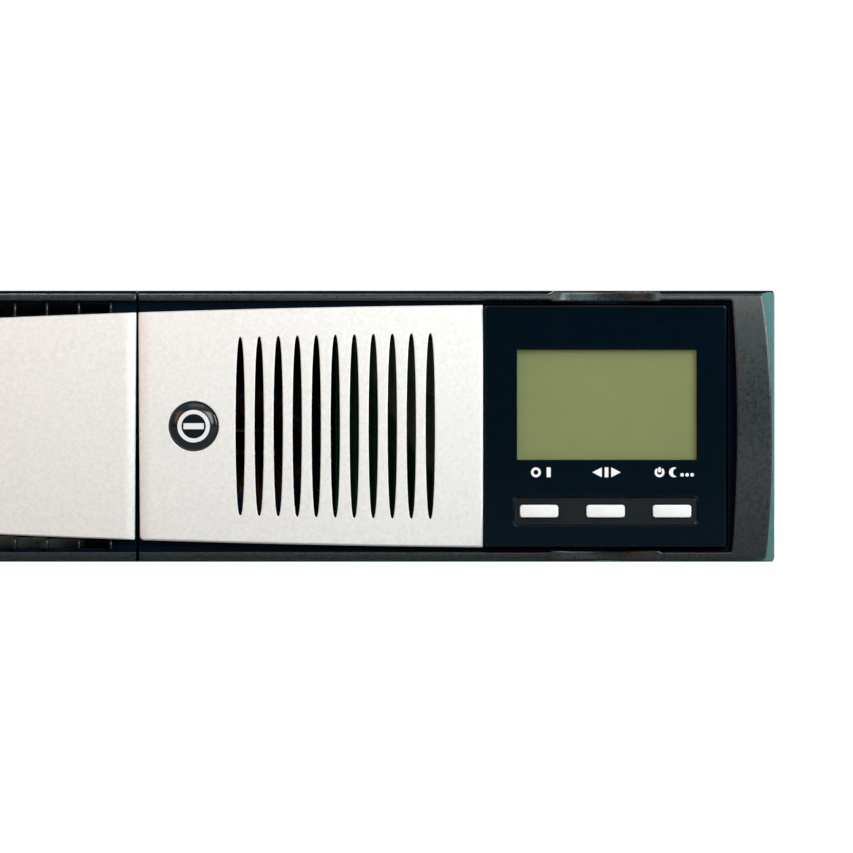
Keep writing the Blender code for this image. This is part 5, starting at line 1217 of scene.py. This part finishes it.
rear_screws("fan_screws", [n for n in nodes if n.startswith("fan_screw")],
            [(AXIS, 0.0), (0.0020, 0.00005), (0.0030, 0.0005), (0.0036, 0.0012), (0.0036, 0.0020),
             (0.0019, 0.0021)], (0.0019, 0.0004, 0.0013))
rear_screws("earth_screw", ["ground_screw"],
            [(AXIS, 0.0), (0.0026, 0.0001), (0.0036, 0.0006), (0.0042, 0.0014), (0.0042, 0.0032),
             (0.0020, 0.0033)], (0.0023, 0.0005, 0.0015))

# %% [markdown]
# ## Fan
# The guard is bent from round wire: rings that grow by an even step, on crossed bars, so a tree
# can make it from two curves. The rotor keeps the frame's blades, softened.

# %% Guard and rotor
guard_low, guard_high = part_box("fan_guard")
FAN_X, FAN_Z = (guard_low.x + guard_high.x) / 2, (guard_low.z + guard_high.z) / 2
guard, given = node_tree("wire_guard", {"Rings": "Int", "First radius": "Float", "Step": "Float",
                                        "Wire": "Float", "Centre": "Vector"})
spots = step(guard, "GeometryNodeMeshLine", Count=given["Rings"], Offset=(0, 0, 0))
grow = maths(guard, "MULTIPLY_ADD", step(guard, "GeometryNodeInputIndex").outputs[0], given["Step"],
             given["First radius"])
loop = step(guard, "GeometryNodeCurvePrimitiveCircle", Resolution=72, Radius=1.0)
rings = step(guard, "GeometryNodeInstanceOnPoints", Points=spots.outputs[0],
             Instance=loop.outputs[0], Rotation=(math.pi / 2, 0, 0), Scale=grow)
real = step(guard, "GeometryNodeRealizeInstances", Geometry=rings.outputs[0])
section = step(guard, "GeometryNodeCurvePrimitiveCircle", Resolution=10, Radius=given["Wire"])
wires = step(guard, "GeometryNodeCurveToMesh", Curve=real.outputs[0],
             Profile_Curve=section.outputs[0])
moved = step(guard, "GeometryNodeTransform", Geometry=wires.outputs[0],
             Translation=given["Centre"])
smooth = step(guard, "GeometryNodeSetShadeSmooth", Geometry=moved.outputs[0])
join = step(guard, "GeometryNodeJoinGeometry")
guard.links.new(given["Geometry"], join.inputs[0])
guard.links.new(smooth.outputs[0], join.inputs[0])
close_tree(guard, join.outputs[0])


def wire(bm, path, radius, sides=8):
    """A round wire through the points, with closed ends."""
    path = [Vector(p) for p in path]
    rows, across = [], None
    for i, point in enumerate(path):
        along = (path[min(i + 1, len(path) - 1)] - path[max(i - 1, 0)]).normalized()
        across = across or along.orthogonal().normalized()
        across = (across - along * across.dot(along)).normalized()
        up = along.cross(across)
        rows.append([bm.verts.new(point + radius * (math.cos(a) * across + math.sin(a) * up))
                     for a in turns_of(sides)])
    bridge_all(bm, rows, "caps")


GUARD_Y, WIRE, EYE, BORE = guard_low.y + 0.0008, 0.00078, 0.0031, 0.0382
reach = middle_of("fan_screw_high_right").x - FAN_X
bm = bmesh.new()
for way, radius in ((1, WIRE * 0.92), (-1, WIRE * 0.9)):
    wire(bm, [(FAN_X + s * reach, GUARD_Y, FAN_Z + way * s * reach)
              for s in (-0.93, -0.5, 0, 0.5, 0.93)], radius)
for a in (-1, 1):
    for b in (-1, 1):
        wire(bm, [(FAN_X + a * reach + EYE * math.cos(t), GUARD_Y,
                   FAN_Z + b * reach + EYE * math.sin(t))
                  for t in [*turns_of(20), 2 * math.pi]], 0.00075, 7)
grown("fan_guard_wires", bm, guard, "chassis", "zinc_plate", "bright_steel", ["fan_guard"], Rings=5,
      First_radius=BORE * 0.22, Step=BORE * 0.18, Wire=WIRE,
      Centre=(FAN_X, guard_high.y - WIRE, FAN_Z))
soft_copies("matte_black", 0.0002, 1, "fan_rotor")

# %% [markdown]
# ## Rear connectors
# The outlets' contacts are slit springs of tinned brass, set back in their slots. The inlet has
# three solid pins. Both are separate metal pieces in a black moulding, so they get their own
# finish and are set in place by the same tree as the screws.

# %% Contacts and pins
REAR, OUTLET_PITCH, CONTACT_DEPTH, PIN_SPREAD = 0.2065, 0.031, 0.0095, 0.007
places = []
for bank in ("outlet_bank_lower", "outlet_bank_upper"):
    low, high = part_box(bank)
    for i in range(4):
        x = (low.x + high.x) / 2 + (i - 1.5) * OUTLET_PITCH
        places += [(x + dx, REAR - CONTACT_DEPTH, middle_of(bank).z + dz)
                   for dx, dz in ((-PIN_SPREAD, -0.0018), (PIN_SPREAD, -0.0018), (0, 0.0022))]
bm = bmesh.new()
for side in (-1, 1):
    soft_box(bm, sorted((side * 0.0003, side * 0.00095)), (-0.004, 0.004), (-0.0019, 0.0019),
             0.0002, 1)
set_at("outlet_contacts", bm, places, "bright_steel")

# %% Inlet with metal pins
inlet_low, inlet_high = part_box("inlet_socket")
INLET_X, INLET_Z = middle_of("inlet_socket").xz
FACE_DEPTH, BASE_DEPTH, POCKET_DEPTH = inlet_high.y - FRONT, REAR + 0.0003 - FRONT, 0.1920 - FRONT
TAIL_DEPTH = inlet_low.y - FRONT
MOUTH_HALF_WIDTH, MOUTH_HALF_HEIGHT, MOUTH_CHAMFER = 0.0123, 0.0083, 0.0044
flange = box_outline(inlet_low.x, inlet_high.x, inlet_low.z, inlet_high.z, 0.0040)
# An appliance connector has six sides, so that a plug fits one way round only.
mouth = round_corners([(INLET_X + x, INLET_Z + z, 0.0008) for x, z in (
    (-MOUTH_HALF_WIDTH, -MOUTH_HALF_HEIGHT), (MOUTH_HALF_WIDTH, -MOUTH_HALF_HEIGHT),
    (MOUTH_HALF_WIDTH, MOUTH_HALF_HEIGHT - MOUTH_CHAMFER),
    (MOUTH_HALF_WIDTH - MOUTH_CHAMFER, MOUTH_HALF_HEIGHT),
    (MOUTH_CHAMFER - MOUTH_HALF_WIDTH, MOUTH_HALF_HEIGHT),
    (-MOUTH_HALF_WIDTH, MOUTH_HALF_HEIGHT - MOUTH_CHAMFER))], 4)
body_outline = box_outline(INLET_X - 0.0145, INLET_X + 0.0145, INLET_Z - 0.0105, INLET_Z + 0.0105,
                           0.0010)
bm = bmesh.new()
# Seen from behind, a face nearer the viewer is deeper, so the lips' falls are negative.
wall, rim = add_lip(bm, lambda s: offset(flange, 0.0006 * s), level(FACE_DEPTH), -0.0006)
mouth_wall, mouth_rim = add_lip(bm, lambda s: offset(mouth, -0.0004 * s), level(FACE_DEPTH),
                                -0.0004)
base, shoulder = (add_row(bm, path, level(BASE_DEPTH)) for path in (flange, body_outline))
tail = add_row(bm, body_outline, level(TAIL_DEPTH))
pocket = add_row(bm, mouth, level(POCKET_DEPTH))
for first, second in ((wall, base), (shoulder, tail), (mouth_wall, pocket)):
    bridge(bm, first, second)
for outer, holes, depth in ((rim, [mouth_rim], FACE_DEPTH), (base, [shoulder], BASE_DEPTH),
                            (tail, [], TAIL_DEPTH), (pocket, [], POCKET_DEPTH)):
    fill(bm, outer, holes, level(depth), 0)
settle("inlet_moulding", bm, "matte_black", "chassis", ["inlet_socket"])
pin = bmesh.new()
soft_box(pin, (-0.0010, 0.0010), (-0.0140, 0.0006), (-0.0020, 0.0020), 0.00045, 2)
set_at("inlet_pins", pin, [(INLET_X - PIN_SPREAD, REAR, INLET_Z - 0.002),
                           (INLET_X + PIN_SPREAD, REAR, INLET_Z - 0.002),
                           (INLET_X, REAR, INLET_Z + 0.002)], "bright_steel")

# %% [markdown]
# ## Batteries and electronics
# These show when the battery cover is off and through the vents. Heat sinks are extrusions, so the
# fins repeat in a tree. A choke is a ring of wire turns, which is a tree as well: one turn of wire,
# copied round a circle, on a plain core.

# %% Battery pack
soft_copies("battery_grey", 0.0006, 2,
            "battery_left_front battery_left_rear battery_right_front battery_right_rear")
soft_copies("zinc_plate", 0.0003, 2, "battery_tray")
soft_copies("wire_red", 0.0002, 1, "battery_link_left battery_link_right", angle=60)
soft_copies("wire_red", 0.0006, 3, "battery_fuse")
soft_copies("matte_black", 0.0003, 2, "battery_harness", angle=50)

# %% Boards and capacitors
soft_copies("board_green", 0.0002, 1, "main_board control_board")
for name in ("bus_capacitor_1", "bus_capacitor_2"):
    low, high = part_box(name)
    x, y, radius = (low.x + high.x) / 2, (low.y + high.y) / 2, (high.x - low.x) / 2
    profile = [(AXIS, low.z), (radius - 0.0008, low.z), (radius, low.z + 0.0008),
               (radius, low.z + 0.0040), (radius - 0.0008, low.z + 0.0050),
               (radius, low.z + 0.0060), (radius, high.z - 0.0014),
               (radius - 0.0009, high.z - 0.0002), (radius - 0.0018, high.z),
               (radius - 0.0020, high.z - 0.0005), (AXIS, high.z - 0.0005)]
    bm = bmesh.new()
    bridge_all(bm, [[bm.verts.new((x + r * math.cos(a), y + r * math.sin(a), z))
                     for a in turns_of(48)] for r, z in profile], "caps")
    weld(bm)
    for face in bm.faces:
        top = face.calc_center_median().z > high.z - 0.0006 and abs(face.normal.z) > 0.9
        face.material_index = 1 if top else 0
    settle(f"{name}_can", bm, ["sleeve_blue", "aluminium"], "chassis", [name],
           welded=True)

# %% Heat sink fins
FIN_PITCH, FIN, PLATE = 0.0075, 0.0015, 0.005
fins, given = node_tree("fin_row", {"Count": "Int", "Pitch": "Vector"})
line = step(fins, "GeometryNodeMeshLine", Count=given["Count"], Offset=given["Pitch"])
copies = step(fins, "GeometryNodeInstanceOnPoints", Points=line.outputs[0],
              Instance=given["Geometry"])
close_tree(fins, copies.outputs[0])
for name in ("heatsink_left", "heatsink_right"):
    low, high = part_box(name)
    bm = bmesh.new()
    soft_box(bm, (low.x, low.x + PLATE), (low.y, high.y), (low.z, high.z), 0.0004)
    settle(f"{name}_plate", bm, "aluminium", "chassis", [name])
    bm = bmesh.new()
    soft_box(bm, (low.x + 0.0045, high.x), (low.y, high.y), (low.z, low.z + FIN), 0.0003)
    grown(f"{name}_fins", bm, fins, "chassis", "aluminium", "aluminium", Pitch=(0, 0, FIN_PITCH),
          Count=int(round((high.z - low.z - FIN) / FIN_PITCH)) + 1)

# %% Chokes
WIRE_TURNS, COPPER = 30, 0.0008
coil, given = node_tree("wound_ring", {"Turns": "Int", "Radius": "Float", "Centre": "Vector"})
ring = step(coil, "GeometryNodeMeshCircle", Vertices=given["Turns"], Radius=given["Radius"])
share = maths(coil, "DIVIDE", step(coil, "GeometryNodeInputIndex").outputs[0], given["Turns"])
tilt = step(coil, "ShaderNodeCombineXYZ", X=0.0, Y=0.0,
            Z=maths(coil, "MULTIPLY", share, 2 * math.pi))
copies = step(coil, "GeometryNodeInstanceOnPoints", Points=ring.outputs[0],
              Instance=given["Geometry"], Rotation=tilt.outputs[0])
stood = step(coil, "GeometryNodeTransform", Geometry=copies.outputs[0],
             Rotation=(math.pi / 2, 0, 0), Translation=given["Centre"])
close_tree(coil, stood.outputs[0])
for name in ("boost_inductor", "output_inductor"):
    low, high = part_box(name)
    centre, tube = (low + high) / 2, (high.y - low.y) / 2
    ring_radius = (high.x - low.x) / 2 - tube
    section = [(ring_radius + (tube - 0.0011) * math.cos(a), (tube - 0.0011) * math.sin(a))
               for a in turns_of(20)]
    bm = bmesh.new()
    bridge_all(bm, [[bm.verts.new((centre.x + r * math.cos(t), centre.y + d,
                                   centre.z + r * math.sin(t)))
                     for r, d in section] for t in turns_of(48)], "ring")
    settle(f"{name}_core", bm, "sleeve_blue", "chassis", [name])
    bm = bmesh.new()
    rows = []
    for t in turns_of(14):
        outward = Vector((math.cos(t), 0, math.sin(t)))
        rows.append([bm.verts.new(outward * (tube - COPPER) + COPPER * (
            math.cos(a) * outward + math.sin(a) * Vector((0, 1, 0)))) for a in turns_of(6)])
    bridge_all(bm, rows, "ring")
    grown(f"{name}_turns", bm, coil, "chassis", "copper_winding", "copper_winding",
          Turns=WIRE_TURNS, Radius=ring_radius, Centre=tuple(centre))
